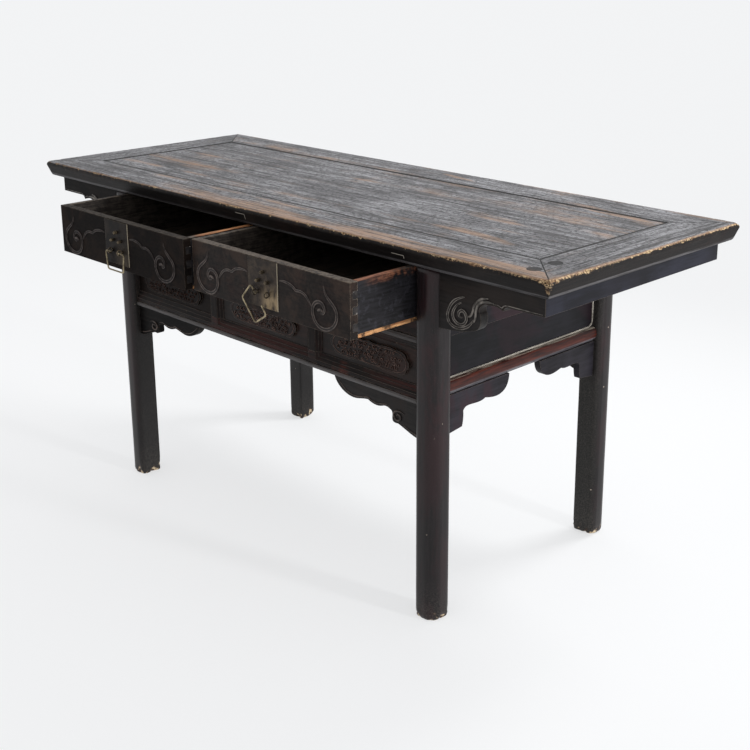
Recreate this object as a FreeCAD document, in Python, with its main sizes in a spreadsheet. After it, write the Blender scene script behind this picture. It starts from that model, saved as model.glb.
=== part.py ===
"""Altar table: a framed top on four recessed legs, two drawers over a row of three carved panels.

X runs along the table, -Y is the front and +Z is up. The floor is z = 0.
Everything is drawn about the middle of the case, with the drawers shut. Each finished piece is then
placed: it moves back by case_y, so that the whole, drawers drawn out, is centred on the origin, and
a drawer's pieces also move to the drawer's own middle and out by the amount that it stands open.
"""
import FreeCAD, Part
import math
import os
import Sketcher
from FreeCAD import Placement, Rotation, Vector

doc = FreeCAD.newDocument("altar_table")
sheet = doc.addObject("Spreadsheet::Sheet", "Sizes")

# Sizes in millimetres: name, value, meaning
SIZES = (
    ("table_length", 1764, "over the top, end to end"),
    ("table_depth", 670, "over the top, front to back"),
    ("table_height", 840, "floor to top"),
    ("top_thickness", 40, "edge of the top"),
    ("border_width", 115, "members of the mitred top frame"),
    ("lip_height", 11, "upright band at the top's upper edge"),
    ("edge_tuck", 11, "how far the top's underside stops short of its upper edge"),
    ("edge_round", 5, "rounding of the top's lower edge"),
    ("board_thickness", 16, "boards in the top frame"),
    ("board_sink", 1, "boards below the frame's surface"),
    ("board_seam", 50, "seam between the two boards, behind the middle"),
    ("tongue_length", 8, "every tongue in its groove"),
    ("board_tongue", 7, "thickness of the top boards' tongue"),
    ("fit_gap", 0.3, "a tongue or tenon in its slot, on each side"),
    ("batten_width", 50, "battens under the boards"),
    ("batten_pitch", 555, "from batten to batten, the outer ones over the end boards"),
    ("end_overhang", 300, "top beyond the legs, at each end"),
    ("side_overhang", 15, "top beyond the legs, front and back"),
    ("leg_width", 60, "leg along the table"),
    ("leg_depth", 60, "leg from front to back"),
    ("leg_outer_round", 28, "leg's outward corner"),
    ("leg_side_round", 9, "leg's two other outer corners"),
    ("leg_inner_round", 2, "leg's inward corner"),
    ("top_tenon", 24, "square tenon on top of a leg"),
    ("top_tenon_rise", 18, "height of that tenon"),
    ("face_inset", 32, "rails and aprons behind the top's edge"),
    ("rail_depth", 40, "front and back rails, front to back"),
    ("drawer_opening", 121, "underside of the top down to the middle rail"),
    ("middle_rail_height", 72, "middle rail"),
    ("panel_opening", 75, "middle rail down to the bottom rail"),
    ("bottom_rail_height", 42, "bottom rail"),
    ("rail_round", 6, "rounding of the rails' outer edges"),
    ("rail_quirk", 2, "line cut along a rail beside its band"),
    ("rail_band", 12, "plain band of a rail, beside the cut line"),
    ("bevel_width", 21, "bevel of a rail round a panel"),
    ("stile_width", 52, "stiles between the carved panels"),
    ("stile_bevel", 16, "bevel of a stile round a panel"),
    ("tenon_length", 22, "rail's tenon in a leg"),
    ("tenon_thickness", 12, "rail's tenon"),
    ("tenon_shoulder", 8, "rail above and below its tenon"),
    ("panel_thickness", 12, "panels of the case"),
    ("panel_recess", 11, "panels behind the rails' faces"),
    ("field_rise", 6, "raised carved field on a panel"),
    ("field_margin", 9, "panel above and below the field"),
    ("field_end_margin", 34, "panel beside the field"),
    ("end_inset", 14, "end rails behind the legs' outer faces"),
    ("end_rail_rise", 20, "end rail above the bottom rail's underside"),
    ("end_rail_height", 35, "end rail"),
    ("end_rail_depth", 36, "end rail, outside to inside"),
    ("end_board_height", 155, "board above the end panel"),
    ("end_board_thickness", 25, "that board"),
    ("floor_rise", 24, "compartment's boards above the bottom rail's underside"),
    ("floor_thickness", 10, "compartment's boards"),
    ("apron_thickness", 22, "wings and end aprons"),
    ("apron_height", 43, "end aprons, and wings at their outer ends"),
    ("wing_drop", 124, "wings at the legs"),
    ("wing_housing", 6, "wing let into the leg"),
    ("spandrel_thickness", 17, "carved brackets under the bottom rails"),
    ("spandrel_setback", 6, "brackets behind the rail's face"),
    ("front_spandrel_length", 270, "front and back brackets along the rail"),
    ("front_spandrel_drop", 80, "their drop at the leg"),
    ("end_spandrel_length", 206, "end brackets along the rail"),
    ("end_spandrel_drop", 88, "their drop at the leg"),
    ("runner_width", 60, "bearer under a drawer's side"),
    ("runner_height", 24, "that bearer"),
    ("guide_rise", 22, "guide lath above the bearers"),
    ("guide_width", 8, "guide lath between the drawers"),
    ("running_gap", 0.3, "drawer above its bearers"),
    ("guide_gap", 1, "drawer beside a guide"),
    ("drawer_leg_gap", 4, "drawer beside a leg"),
    ("drawer_head_gap", 3, "drawer below the top"),
    ("drawer_length", 540, "front to back"),
    ("front_thickness", 20, "drawer front"),
    ("side_thickness", 13, "drawer sides and back"),
    ("bottom_thickness", 9, "drawer bottom"),
    ("pin_height", 16, "pins of the corner joints"),
    ("left_open", 206, "left drawer drawn out"),
    ("right_open", 189, "right drawer drawn out"),
    ("fittings_offset", 10, "plate left of the drawer's middle"),
    ("plate_width", 96, "brass plate"),
    ("plate_height", 104, "brass plate"),
    ("plate_thickness", 1.5, "brass plate"),
    ("plate_top_margin", 2, "plate below the front's top edge"),
    ("stud_radius", 4, "heads of the three lock studs"),
    ("stud_reach", 9, "lock studs out of the plate"),
    ("stud_depth", 47, "lower two studs below the plate's top"),
    ("stud_spread", 31, "between the lower two studs"),
    ("top_stud_depth", 27, "upper stud below the plate's top"),
    ("shank_radius", 2, "shanks of studs and eyes"),
    ("shank_length", 13, "shank in the drawer front"),
    ("shank_gap", 0.05, "round a shank in its hole"),
    ("eye_depth", 72, "bail's eyes below the plate's top"),
    ("eye_spread", 39, "between the two eyes"),
    ("eye_ring", 5.8, "middle of the eye's ring from its own middle"),
    ("eye_wire", 1.5, "radius of the eye's wire"),
    ("bail_wire", 1.9, "radius of the bail's rod"),
    ("bail_top", 76, "bail over its arms at the eyes"),
    ("bail_bottom", 64, "bail over its arms at the bottom"),
    ("bail_drop", 45, "bail below the eyes"),
    ("bail_bend", 6, "radius of the bail's bends"),
    ("bail_end", 5, "bail's ends beyond the eyes, inward"),
    ("overrun", 5, "cutters beyond the wood that they cut"),
)
LOOSE_BAIL_TILT = 50.0  # degrees from level: the right bail hangs by its left eye alone
SAME_PLACE = 0.01  # edges this near to a named place pass through it


class Size:
    """A length that knows its value and the sheet formula that it comes from."""

    def __init__(self, text, value):
        self.text = text
        self.value = float(value)

    def _join(self, sign, other, value, swapped=False):
        mine, theirs = self.text, other.text if isinstance(other, Size) else repr(float(other))
        first, second = (theirs, mine) if swapped else (mine, theirs)
        return Size("(%s %s %s)" % (first, sign, second), value)

    def __add__(self, other):
        return self._join("+", other, self.value + float(other))

    def __radd__(self, other):
        return self._join("+", other, float(other) + self.value, True)

    def __sub__(self, other):
        return self._join("-", other, self.value - float(other))

    def __rsub__(self, other):
        return self._join("-", other, float(other) - self.value, True)

    def __mul__(self, other):
        return self._join("*", other, self.value * float(other))

    def __rmul__(self, other):
        return self._join("*", other, float(other) * self.value, True)

    def __truediv__(self, other):
        return self._join("/", other, self.value / float(other))

    def __neg__(self):
        return Size("(0 - %s)" % self.text, -self.value)

    def __float__(self):
        return self.value


for row, (size_name, number, meaning) in enumerate(SIZES, start=1):
    sheet.set("A%d" % row, size_name)
    sheet.set("B%d" % row, str(number))
    sheet.set("C%d" % row, meaning)
    sheet.setAlias("B%d" % row, size_name)
doc.recompute()


class Sheet:
    """Gives each cell of the sheet as a Size, by its alias."""

    def __getattr__(self, alias):
        return Size("Sizes.%s" % alias, getattr(sheet, alias))


s = Sheet()
ZERO = Size("0", 0)

# Places that follow from the sizes, about the middle of the case
half_length = s.table_length / 2
half_depth = s.table_depth / 2
under_top = s.table_height - s.top_thickness
leg_out = half_length - s.end_overhang
leg_in = leg_out - s.leg_width
leg_front = half_depth - s.side_overhang
leg_back = leg_front - s.leg_depth
face = half_depth - s.face_inset
rail_back = face - s.rail_depth
panel_face = face - s.panel_recess
panel_back = panel_face - s.panel_thickness
middle_rail_top = under_top - s.drawer_opening
middle_rail_low = middle_rail_top - s.middle_rail_height
bottom_rail_top = middle_rail_low - s.panel_opening
bottom_rail_low = bottom_rail_top - s.bottom_rail_height
floor_low = bottom_rail_low + s.floor_rise
end_face = leg_out - s.end_inset
end_rail_in = end_face - s.end_rail_depth
end_rail_low = bottom_rail_low + s.end_rail_rise
end_rail_top = end_rail_low + s.end_rail_height
end_board_low = under_top - s.end_board_height
end_board_in = end_face - s.end_board_thickness
end_panel_out = end_board_in + s.panel_thickness
apron_end = half_length - s.face_inset
opening_low = -half_length + s.border_width
board_top = s.table_height - s.board_sink
board_under = board_top - s.board_thickness
drawer_low = middle_rail_top + s.running_gap
drawer_high = under_top - s.drawer_head_gap
drawer_gap = s.guide_width + s.guide_gap * 2
drawer_width = leg_in - s.drawer_leg_gap - drawer_gap / 2
drawer_middle = drawer_gap / 2 + drawer_width / 2
plate_top = drawer_high - s.plate_top_margin
plate_face = -face - s.plate_thickness
eye_out = s.eye_ring + s.eye_wire
eye_y = plate_face - eye_out
eye_z = plate_top - s.eye_depth
bail_sag = s.eye_ring - s.eye_wire - s.bail_wire - s.fit_gap
front_reach = face + s.left_open + s.plate_thickness + eye_out * 2
case_y = (front_reach - half_depth) / 2


# Helpers that make shapes bound to the sheet

def bind(thing, **formulas):
    for key, size in formulas.items():
        thing.setExpression(key.replace("__", "."), size.text)


def place(thing, x, y, turn):
    """Puts a finished thing in its place in the whole."""
    thing.Placement = Placement(Vector(0, 0, 0), Rotation(Vector(0, 0, 1), turn))
    bind(thing, Placement__Base__x=x, Placement__Base__y=y)
    return thing


def block(name, xs, ys, zs, x=ZERO, y=ZERO):
    """A straight piece between two places on each axis."""
    box = doc.addObject("Part::Box", name)
    bind(box, Length=xs[1] - xs[0], Width=ys[1] - ys[0], Height=zs[1] - zs[0])
    bind(box, Placement__Base__x=xs[0] + x, Placement__Base__y=ys[0] + y, Placement__Base__z=zs[0])
    return box


def span(side, near, far):
    """The places near and far from the middle, in order, on the side given by +1 or -1."""
    return (near, far) if side > 0 else (-far, -near)


def grow(pair, gap):
    return pair[0] - gap, pair[1] + gap


def join(name, pieces):
    union = doc.addObject("Part::MultiFuse", name)
    union.Shapes = pieces
    union.Refine = True
    return union


def carve(name, piece, cutters):
    """The piece without its cutters."""
    result = doc.addObject("Part::Cut", name)
    result.Base = piece
    result.Tool = cutters[0] if len(cutters) == 1 else join(name + "_cutters", cutters)
    return result


def common(name, first, second):
    result = doc.addObject("Part::Common", name)
    result.Base = first
    result.Tool = second
    return result


def wedge(name, xs, ys, zs, far_xs, far_zs=None):
    """A tapering block: its X and Z places differ at its two ends along Y."""
    far_zs = far_zs or zs
    solid = doc.addObject("Part::Wedge", name)
    bind(solid, Xmin=xs[0], Xmax=xs[1], Ymin=ys[0], Ymax=ys[1], Zmin=zs[0], Zmax=zs[1],
         X2min=far_xs[0], X2max=far_xs[1], Z2min=far_zs[0], Z2max=far_zs[1])
    return solid


def plane_of(body, role):
    return [item for item in body.Origin.OriginFeatures if item.Role == role][0]


def profile_body(name, role, corners, length, centred=False):
    """A body padded from a polygon whose every corner is bound to the sheet."""
    body = doc.addObject("PartDesign::Body", name)
    sketch = body.newObject("Sketcher::SketchObject", name + "_sketch")
    sketch.AttachmentSupport = [(plane_of(body, role), "")]
    sketch.MapMode = "FlatFace"
    count = len(corners)
    for index, (across, up) in enumerate(corners):
        following = corners[(index + 1) % count]
        start = Vector(float(across), float(up), 0)
        end = Vector(float(following[0]), float(following[1]), 0)
        sketch.addGeometry(Part.LineSegment(start, end))
    for index, (across, up) in enumerate(corners):
        sketch.addConstraint(Sketcher.Constraint("Coincident", (index - 1) % count, 2, index, 1))
        for kind, size in (("DistanceX", across), ("DistanceY", up)):
            distance = Sketcher.Constraint(kind, -1, 1, index, 1, float(size))
            number = sketch.addConstraint(distance)
            sketch.renameConstraint(number, "%s_%d" % (kind, index))
            sketch.setExpression("Constraints.%s_%d" % (kind, index), size.text)
    pad = body.newObject("PartDesign::Pad", name + "_pad")
    pad.Profile = sketch
    pad.Midplane = centred
    bind(pad, Length=length)
    doc.recompute()
    return body


def round_edges(body, axis, places, radius):
    """Rounds the body's edges along an axis that pass through the places, given on the other two."""
    others = [index for index in range(3) if index != axis]
    names = []
    for number, edge in enumerate(body.Tip.Shape.Edges, start=1):
        ends = [vertex.Point for vertex in edge.Vertexes]
        if len(ends) < 2 or abs(ends[0][axis] - ends[1][axis]) < edge.Length / 2:
            continue
        for spot in places:
            if all(abs(ends[0][other] - float(size)) < SAME_PLACE
                   for other, size in zip(others, spot)):
                names.append("Edge%d" % number)
    base = body.Tip
    fillet = body.newObject("PartDesign::Fillet", body.Name + "_round_%d" % len(body.Group))
    fillet.Base = (base, names)
    bind(fillet, Radius=radius)
    doc.recompute()


def rod(name, axis_turn, radius, length, x, y, z):
    """A cylinder from a point: axis_turn is the rotation that lays its length along an axis."""
    solid = doc.addObject("Part::Cylinder", name)
    solid.Placement = Placement(Vector(0, 0, 0), axis_turn)
    bind(solid, Radius=radius, Height=length)
    bind(solid, Placement__Base__x=x, Placement__Base__y=y, Placement__Base__z=z)
    return solid


TO_FRONT = Rotation(Vector(1, 0, 0), 90)  # a cylinder's length runs to -Y
ALONG_X = Rotation(Vector(0, 1, 0), 90)


def shaped_board(name, runs, front, thickness):
    """A board with its front face at y = front, from the runs of x, z points round its outline.

    Each run is a straight line, or a smooth curve if it has over two points.
    """
    edges = []
    for run in runs:
        points = [Vector(float(x), float(front), float(z)) for x, z in run]
        if len(points) == 2:
            edges.append(Part.LineSegment(*points).toShape())
            continue
        curve = Part.BSplineCurve()
        curve.interpolate(points)
        edges.append(curve.toShape())
    board = doc.addObject("Part::Feature", name)
    board.Shape = Part.Face(Part.Wire(edges)).extrude(Vector(0, float(thickness), 0))
    return board


pieces = []


def keep(name, thing):
    """Makes a thing that is in its place a sub-part, under the name of its file."""
    thing.Label = name
    pieces.append(thing)


def piece(name, thing, x=ZERO, y=case_y, turn=0):
    keep(name, place(thing, x, y, turn))


# The framed top

def top_member(name, run, reach, turn, rides_legs):
    """A mitred member of the top frame, drawn along X with its outer edge towards -Y."""
    inner = -reach + s.border_width
    tuck = -reach + s.edge_tuck
    lip = s.table_height - s.lip_height
    body = profile_body(name + "_profile", "YZ_Plane", (
        (-reach, s.table_height), (-reach, lip), (tuck, under_top), (inner, under_top),
        (inner, s.table_height)), run, True)
    round_edges(body, 0, ((tuck, under_top),), s.edge_round)
    half = run / 2
    plan = wedge(name + "_mitres", (-half, half), (-reach, inner), (under_top, s.table_height),
                 (-half + s.border_width, half - s.border_width))
    member = common(name + "_mitred", body, plan)
    groove_end = half - s.border_width + s.tongue_length + s.fit_gap
    groove = block(name + "_groove", (-groove_end, groove_end),
                   (inner - s.tongue_length - s.fit_gap, inner + s.overrun),
                   (board_under - s.fit_gap, board_under + s.board_tongue + s.fit_gap))
    cutters = [groove]
    if rides_legs:
        for side in (-1, 1):
            cutters.append(top_tenon_block("%s_mortise_%d" % (name, side + 2), side, -1, s.fit_gap))
        for index in (-1, 0, 1):
            cutters.append(batten_tenon("%s_slot_%d" % (name, index + 2), index, s.fit_gap))
    piece(name, carve(name, member, cutters), turn=turn)


def top_tenon_block(name, side, end, gap):
    """The tenon on a leg's top, or with a gap the mortise that takes it."""
    middle_x = leg_in + s.leg_width / 2
    middle_y = leg_back + s.leg_depth / 2
    half = s.top_tenon / 2
    high = under_top + s.top_tenon_rise + gap
    return block(name, grow(span(side, middle_x - half, middle_x + half), gap),
                 grow(span(end, middle_y - half, middle_y + half), gap), (under_top, high))


def batten_tenon(name, index, gap):
    """A batten's end tongue in the frame, or with a gap its slot."""
    half = s.batten_width / 4
    third = (board_under - under_top) / 3
    reach = half_depth - s.border_width + s.tongue_length + gap
    middle = s.batten_pitch * index
    return block(name, grow((middle - half, middle + half), gap), (-reach, reach),
                 (under_top + third - gap, board_under - third + gap))


def top_board(name, near, far, outer):
    """A board of the top with tongues on its ends and its outer edge; outer is -1 or +1."""
    reach = -opening_low
    body = block(name + "_plank", (-reach, reach), (near, far), (board_under, board_top))
    tongue_ys = (near - s.tongue_length, far) if outer < 0 else (near, far + s.tongue_length)
    tongue = block(name + "_tongue", grow((-reach, reach), s.tongue_length), tongue_ys,
                   (board_under, board_under + s.board_tongue))
    piece(name, join(name, [body, tongue]))


top_member("top_frame_front", s.table_length, half_depth, 0, True)
top_member("top_frame_back", s.table_length, half_depth, 180, True)
top_member("top_frame_right", s.table_depth, half_length, 90, False)
top_member("top_frame_left", s.table_depth, half_length, -90, False)
opening_edge = half_depth - s.border_width
top_board("top_board_front", -opening_edge, s.board_seam, -1)
top_board("top_board_back", s.board_seam, opening_edge, 1)

battens = []
for index in (-1, 0, 1):
    middle = s.batten_pitch * index
    half = s.batten_width / 2
    batten = block("batten_%d" % (index + 2), (middle - half, middle + half),
                   (-opening_edge, opening_edge), (under_top, board_under))
    battens.append(join("batten_tenoned_%d" % (index + 2),
                        [batten, batten_tenon("batten_tongue_%d" % (index + 2), index, ZERO)]))
batten_set = doc.addObject("Part::Compound", "top_battens")
batten_set.Links = battens
piece("top_battens", batten_set)


# Joints of the case: each function gives the tenon or tongue, or with a gap the slot for it

def rail_tenon(name, side, end, low, height, gap):
    middle = rail_back + s.rail_depth / 2
    half = s.tenon_thickness / 2
    return block(name, grow(span(side, leg_in, leg_in + s.tenon_length), gap),
                 grow(span(end, middle - half, middle + half), gap),
                 grow((low + s.tenon_shoulder, low + height - s.tenon_shoulder), gap))


def end_rail_tenon(name, side, end, gap):
    out = end_face - s.tenon_shoulder
    return block(name, grow(span(side, out - s.tenon_thickness, out), gap),
                 grow(span(end, leg_back, leg_back + s.tenon_length), gap),
                 grow((end_rail_low + s.tenon_shoulder, end_rail_top - s.tenon_shoulder), gap))


def wing_housing(name, side, end):
    """The place in a leg's outer face for the end of a wing, open at the leg's top."""
    return block(name, span(side, leg_out - s.wing_housing - s.fit_gap, leg_out + s.overrun),
                 grow(span(end, face - s.apron_thickness, face), s.fit_gap),
                 (under_top - s.wing_drop - s.fit_gap, under_top + s.overrun))


def leg(name, side, end):
    """A leg, rounded outside and square inside, with its tenon, mortises and grooves."""
    xs = span(side, leg_in, leg_out)
    ys = span(end, leg_back, leg_front)
    body = profile_body(name + "_post", "XY_Plane", (
        (xs[0], ys[0]), (xs[1], ys[0]), (xs[1], ys[1]), (xs[0], ys[1])), under_top)
    outer_x, inner_x = (xs[1], xs[0]) if side > 0 else (xs[0], xs[1])
    outer_y, inner_y = (ys[1], ys[0]) if end > 0 else (ys[0], ys[1])
    round_edges(body, 2, ((outer_x, outer_y),), s.leg_outer_round)
    round_edges(body, 2, ((outer_x, inner_y), (inner_x, outer_y)), s.leg_side_round)
    round_edges(body, 2, ((inner_x, inner_y),), s.leg_inner_round)
    tenoned = join(name + "_tenoned", [body, top_tenon_block(name + "_tenon", side, end, ZERO)])
    gap = s.fit_gap
    long_panel_ys = grow(span(end, panel_back, panel_face), gap)
    groove_xs = span(side, leg_in - s.overrun, leg_in + s.tongue_length + gap)
    panel_low = bottom_rail_top - s.tongue_length - gap
    panel_high = under_top + s.overrun if end > 0 else middle_rail_low + s.tongue_length + gap
    end_xs = grow(span(side, end_board_in, end_panel_out), gap)
    end_ys = span(end, leg_back - s.overrun, leg_back + s.tongue_length + gap)
    cutters = [
        rail_tenon(name + "_low_mortise", side, end, bottom_rail_low, s.bottom_rail_height, gap),
        rail_tenon(name + "_high_mortise", side, end, middle_rail_low, s.middle_rail_height, gap),
        end_rail_tenon(name + "_end_mortise", side, end, gap),
        wing_housing(name + "_wing_housing", side, end),
        block(name + "_panel_groove", groove_xs, long_panel_ys, (panel_low, panel_high)),
        block(name + "_end_groove", end_xs, end_ys,
              (end_rail_top - s.tongue_length - gap, under_top + s.overrun))]
    piece(name, carve(name, tenoned, cutters))


SIDES = (("left", -1), ("right", 1))
ENDS = (("front", -1), ("back", 1))
for end_name, end in ENDS:
    for side_name, side in SIDES:
        leg("leg_%s_%s" % (end_name, side_name), side, end)


# The front and back of the case

span_between_stiles = (leg_in * 2 - s.stile_width * 2) / 3
stile_middle = span_between_stiles / 2 + s.stile_width / 2
CARVED = (
    ("left", (-leg_in, -stile_middle - s.stile_width / 2), (ZERO, s.stile_bevel)),
    ("middle", (-stile_middle + s.stile_width / 2, stile_middle - s.stile_width / 2),
     (s.stile_bevel, s.stile_bevel)),
    ("right", (stile_middle + s.stile_width / 2, leg_in), (s.stile_bevel, ZERO)),
)


def bevel_cutter(name, panel_xs, flares):
    """Takes the bevel off whatever surrounds a carved panel: a tray that widens to the front."""
    return wedge(name, (panel_xs[0] - flares[0], panel_xs[1] + flares[1]), (-face, -panel_face),
                 (bottom_rail_top - s.bevel_width, middle_rail_low + s.bevel_width),
                 panel_xs, (bottom_rail_top, middle_rail_low))


def stile_tenon(name, side, gap):
    middle = rail_back + s.rail_depth / 2
    half = s.tenon_thickness / 2
    centre = stile_middle * side
    return block(name, grow((centre - s.stile_width / 4, centre + s.stile_width / 4), gap),
                 grow((-middle - half, -middle + half), gap),
                 (bottom_rail_top - s.tenon_shoulder - gap, middle_rail_low + s.tenon_shoulder + gap))


def rail(name, end, low, height, profile, cutters, rounded=()):
    """A long rail of the given profile, some edges rounded, with its two tenons."""
    body = profile_body(name + "_bar", "YZ_Plane", profile, leg_in * 2, True)
    if rounded:
        round_edges(body, 0, rounded, s.rail_round)
    tenons = [rail_tenon("%s_tenon_%d" % (name, side + 2), side, end, low, height, ZERO)
              for side in (-1, 1)]
    return carve(name, join(name + "_tenoned", [body] + tenons), cutters)


def panel_groove(name, end, low, high):
    """The groove in a rail for the edge of a panel."""
    return block(name, (-leg_in - s.overrun, leg_in + s.overrun),
                 grow(span(end, panel_back, panel_face), s.fit_gap), (low, high))


def floor_groove(name, end):
    ys = span(end, rail_back - s.overrun, rail_back + s.tongue_length + s.fit_gap)
    return block(name, (-leg_in - s.overrun, leg_in + s.overrun), ys,
                 grow((floor_low, floor_low + s.floor_thickness), s.fit_gap))


def quirk(low):
    """Corners of a fine V cut in a front rail's face, upwards from the given height."""
    return ((-face, low), (-face + s.rail_quirk, low + s.rail_quirk),
            (-face, low + s.rail_quirk * 2))


def bevels(name):
    return [bevel_cutter("%s_bevel_%s" % (name, where), xs, flares) for where, xs, flares in CARVED]


def front_rails():
    low, top = bottom_rail_low, bottom_rail_top
    profile = ((-rail_back, low), (-rail_back, top), (-face, top)) + tuple(
        reversed(quirk(low + s.rail_band))) + ((-face, low),)
    slots = [stile_tenon("bottom_rail_mortise_%d" % (side + 2), side, s.fit_gap) for side in (-1, 1)]
    groove = panel_groove("bottom_rail_groove", -1, top - s.tongue_length - s.fit_gap,
                          top + s.overrun)
    thing = rail("front_bottom_rail", -1, low, s.bottom_rail_height, profile,
                 bevels("bottom_rail") + slots + [groove, floor_groove("front_floor_groove", -1)],
                 ((-face, low),))
    piece("front_bottom_rail", thing)
    low, top = middle_rail_low, middle_rail_top
    profile = ((-rail_back, low), (-rail_back, top), (-face, top)) + tuple(
        reversed(quirk(low + s.bevel_width + s.rail_band))) + ((-face, low),)
    slots = [stile_tenon("middle_rail_mortise_%d" % (side + 2), side, s.fit_gap) for side in (-1, 1)]
    groove = panel_groove("middle_rail_groove", -1, low - s.overrun,
                          low + s.tongue_length + s.fit_gap)
    thing = rail("front_middle_rail", -1, low, s.middle_rail_height, profile,
                 bevels("middle_rail") + slots + [groove])
    piece("front_middle_rail", thing)


def back_rails():
    for name, low, height in (("back_bottom_rail", bottom_rail_low, s.bottom_rail_height),
                              ("back_middle_rail", middle_rail_low, s.middle_rail_height)):
        top = low + height
        profile = ((rail_back, low), (face, low), (face, top), (rail_back, top))
        depth = s.tongue_length + s.fit_gap
        cutters = [panel_groove(name + "_upper_groove", 1, top - depth, top + s.overrun)]
        if name == "back_bottom_rail":
            cutters.append(floor_groove("back_floor_groove", 1))
        else:
            cutters.append(panel_groove(name + "_lower_groove", 1, low - s.overrun, low + depth))
        piece(name, rail(name, 1, low, height, profile, cutters))


def stiles():
    for side_name, side in SIDES:
        centre = stile_middle * side
        half = s.stile_width / 2
        name = side_name + "_stile"
        post = block(name + "_post", (centre - half, centre + half), (-face, -rail_back),
                     (bottom_rail_top, middle_rail_low))
        tenoned = join(name + "_tenoned", [post, stile_tenon(name + "_tenon", side, ZERO)])
        depth = s.tongue_length + s.fit_gap
        zs = (bottom_rail_top - s.overrun, middle_rail_low + s.overrun)
        ys = grow((-panel_face, -panel_back), s.fit_gap)
        left_groove = block(name + "_left_groove",
                            (centre - half - s.overrun, centre - half + depth), ys, zs)
        right_groove = block(name + "_right_groove",
                             (centre + half - depth, centre + half + s.overrun), ys, zs)
        piece(name, carve(name, tenoned, bevels(name) + [left_groove, right_groove]))


# Half of a carved field's outline, as shares of its half length and half height from its middle
FIELD_SHARES = (
    ((0, 1), (0.30, 0.93), (0.52, 0.99), (0.68, 0.90)),
    ((0.68, 0.90), (0.80, 0.92), (0.90, 0.74), (0.93, 0.42)),
    ((0.93, 0.42), (0.99, 0.22), (1, 0)),
)


def field_runs(middle_x, middle_z, half_x, half_z):
    """The whole outline of a carved field: its quarter turned about both middle lines."""
    quarter = [list(run) for run in FIELD_SHARES]
    lower = [[(x, -z) for x, z in reversed(run)] for run in reversed(quarter)]
    right = quarter + lower
    left = [[(-x, -z) for x, z in run] for run in right]
    return [[(middle_x + x * half_x, middle_z + z * half_z) for x, z in run]
            for run in right + left]


def carved_panels():
    middle_z = (float(bottom_rail_top) + float(middle_rail_low)) / 2
    half_z = (float(middle_rail_low) - float(bottom_rail_top)) / 2 - float(s.field_margin)
    for where, xs, flares in CARVED:
        name = "carved_panel_" + where
        sheet_of_wood = block(name + "_sheet", grow(xs, s.tongue_length), (-panel_face, -panel_back),
                              grow((bottom_rail_top, middle_rail_low), s.tongue_length))
        middle_x = (float(xs[0]) + float(xs[1])) / 2
        half_x = (float(xs[1]) - float(xs[0])) / 2 - float(s.field_end_margin)
        field = shaped_board(name + "_field", field_runs(middle_x, middle_z, half_x, half_z),
                             -panel_face - s.field_rise, s.field_rise)
        piece(name, join(name, [sheet_of_wood, field]))


def back_panels():
    for name, low, high in (
            ("back_lower_panel", bottom_rail_top - s.tongue_length,
             middle_rail_low + s.tongue_length),
            ("back_upper_panel", middle_rail_top - s.tongue_length, under_top)):
        keep(name, block(name, grow((-leg_in, leg_in), s.tongue_length), (panel_back, panel_face),
                         (low, high), y=case_y))


front_rails()
back_rails()
stiles()
carved_panels()
back_panels()


# The ends of the case

def case_end(side_name, side):
    gap = s.fit_gap
    ys = (-leg_back, leg_back)
    rail_xs = span(side, end_rail_in, end_face)
    name = side_name + "_end_rail"
    body = profile_body(name + "_bar", "XZ_Plane", (
        (rail_xs[0], end_rail_low), (rail_xs[1], end_rail_low), (rail_xs[1], end_rail_top),
        (rail_xs[0], end_rail_top)), leg_back * 2, True)
    outer = rail_xs[1] if side > 0 else rail_xs[0]
    round_edges(body, 1, ((outer, end_rail_low), (outer, end_rail_top)), s.rail_round)
    tenons = [end_rail_tenon("%s_tenon_%d" % (name, end + 2), side, end, ZERO) for end in (-1, 1)]
    panel_xs = span(side, end_board_in, end_panel_out)
    long_ys = grow(ys, s.overrun)
    groove = block(name + "_groove", grow(panel_xs, gap), long_ys,
                   (end_rail_top - s.tongue_length - gap, end_rail_top + s.overrun))
    floor_slot = block(name + "_floor_slot",
                       span(side, end_rail_in - s.overrun, end_rail_in + s.tongue_length + gap),
                       long_ys, grow((floor_low, floor_low + s.floor_thickness), gap))
    piece(name, carve(name, join(name + "_tenoned", [body] + tenons), [groove, floor_slot]))

    name = side_name + "_end_panel"
    keep(name, block(name, panel_xs, grow(ys, s.tongue_length),
                     grow((end_rail_top, end_board_low), s.tongue_length), y=case_y))

    name = side_name + "_end_board"
    board = block(name + "_plank", span(side, end_board_in, end_face), ys,
                  (end_board_low, under_top))
    tongue = block(name + "_tongue", panel_xs, grow(ys, s.tongue_length),
                   (end_board_low + s.tongue_length + gap, under_top))
    groove = block(name + "_groove", grow(panel_xs, gap), long_ys,
                   (end_board_low - s.overrun, end_board_low + s.tongue_length + gap))
    piece(name, carve(name, join(name + "_tongued", [board, tongue]), [groove]))


for side_name, side in SIDES:
    case_end(side_name, side)


# Wings and end aprons under the top

# The wing's lower edge from the leg outwards: share of its length, share of its drop at the leg
WING_SHARES = (
    ((0, 1), (0.13, 0.975), (0.25, 0.94), (0.325, 0.885)),
    ((0.325, 0.885), (0.385, 0.82), (0.405, 0.70), (0.392, 0.56)),
    ((0.392, 0.56), (0.395, 0.47), (0.43, 0.405), (0.48, 0.395)),
    ((0.48, 0.395), (0.57, 0.39), (0.62, 0.425)),
    ((0.62, 0.425), (0.635, 0.365), (0.67, 0.35)),
)


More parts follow.
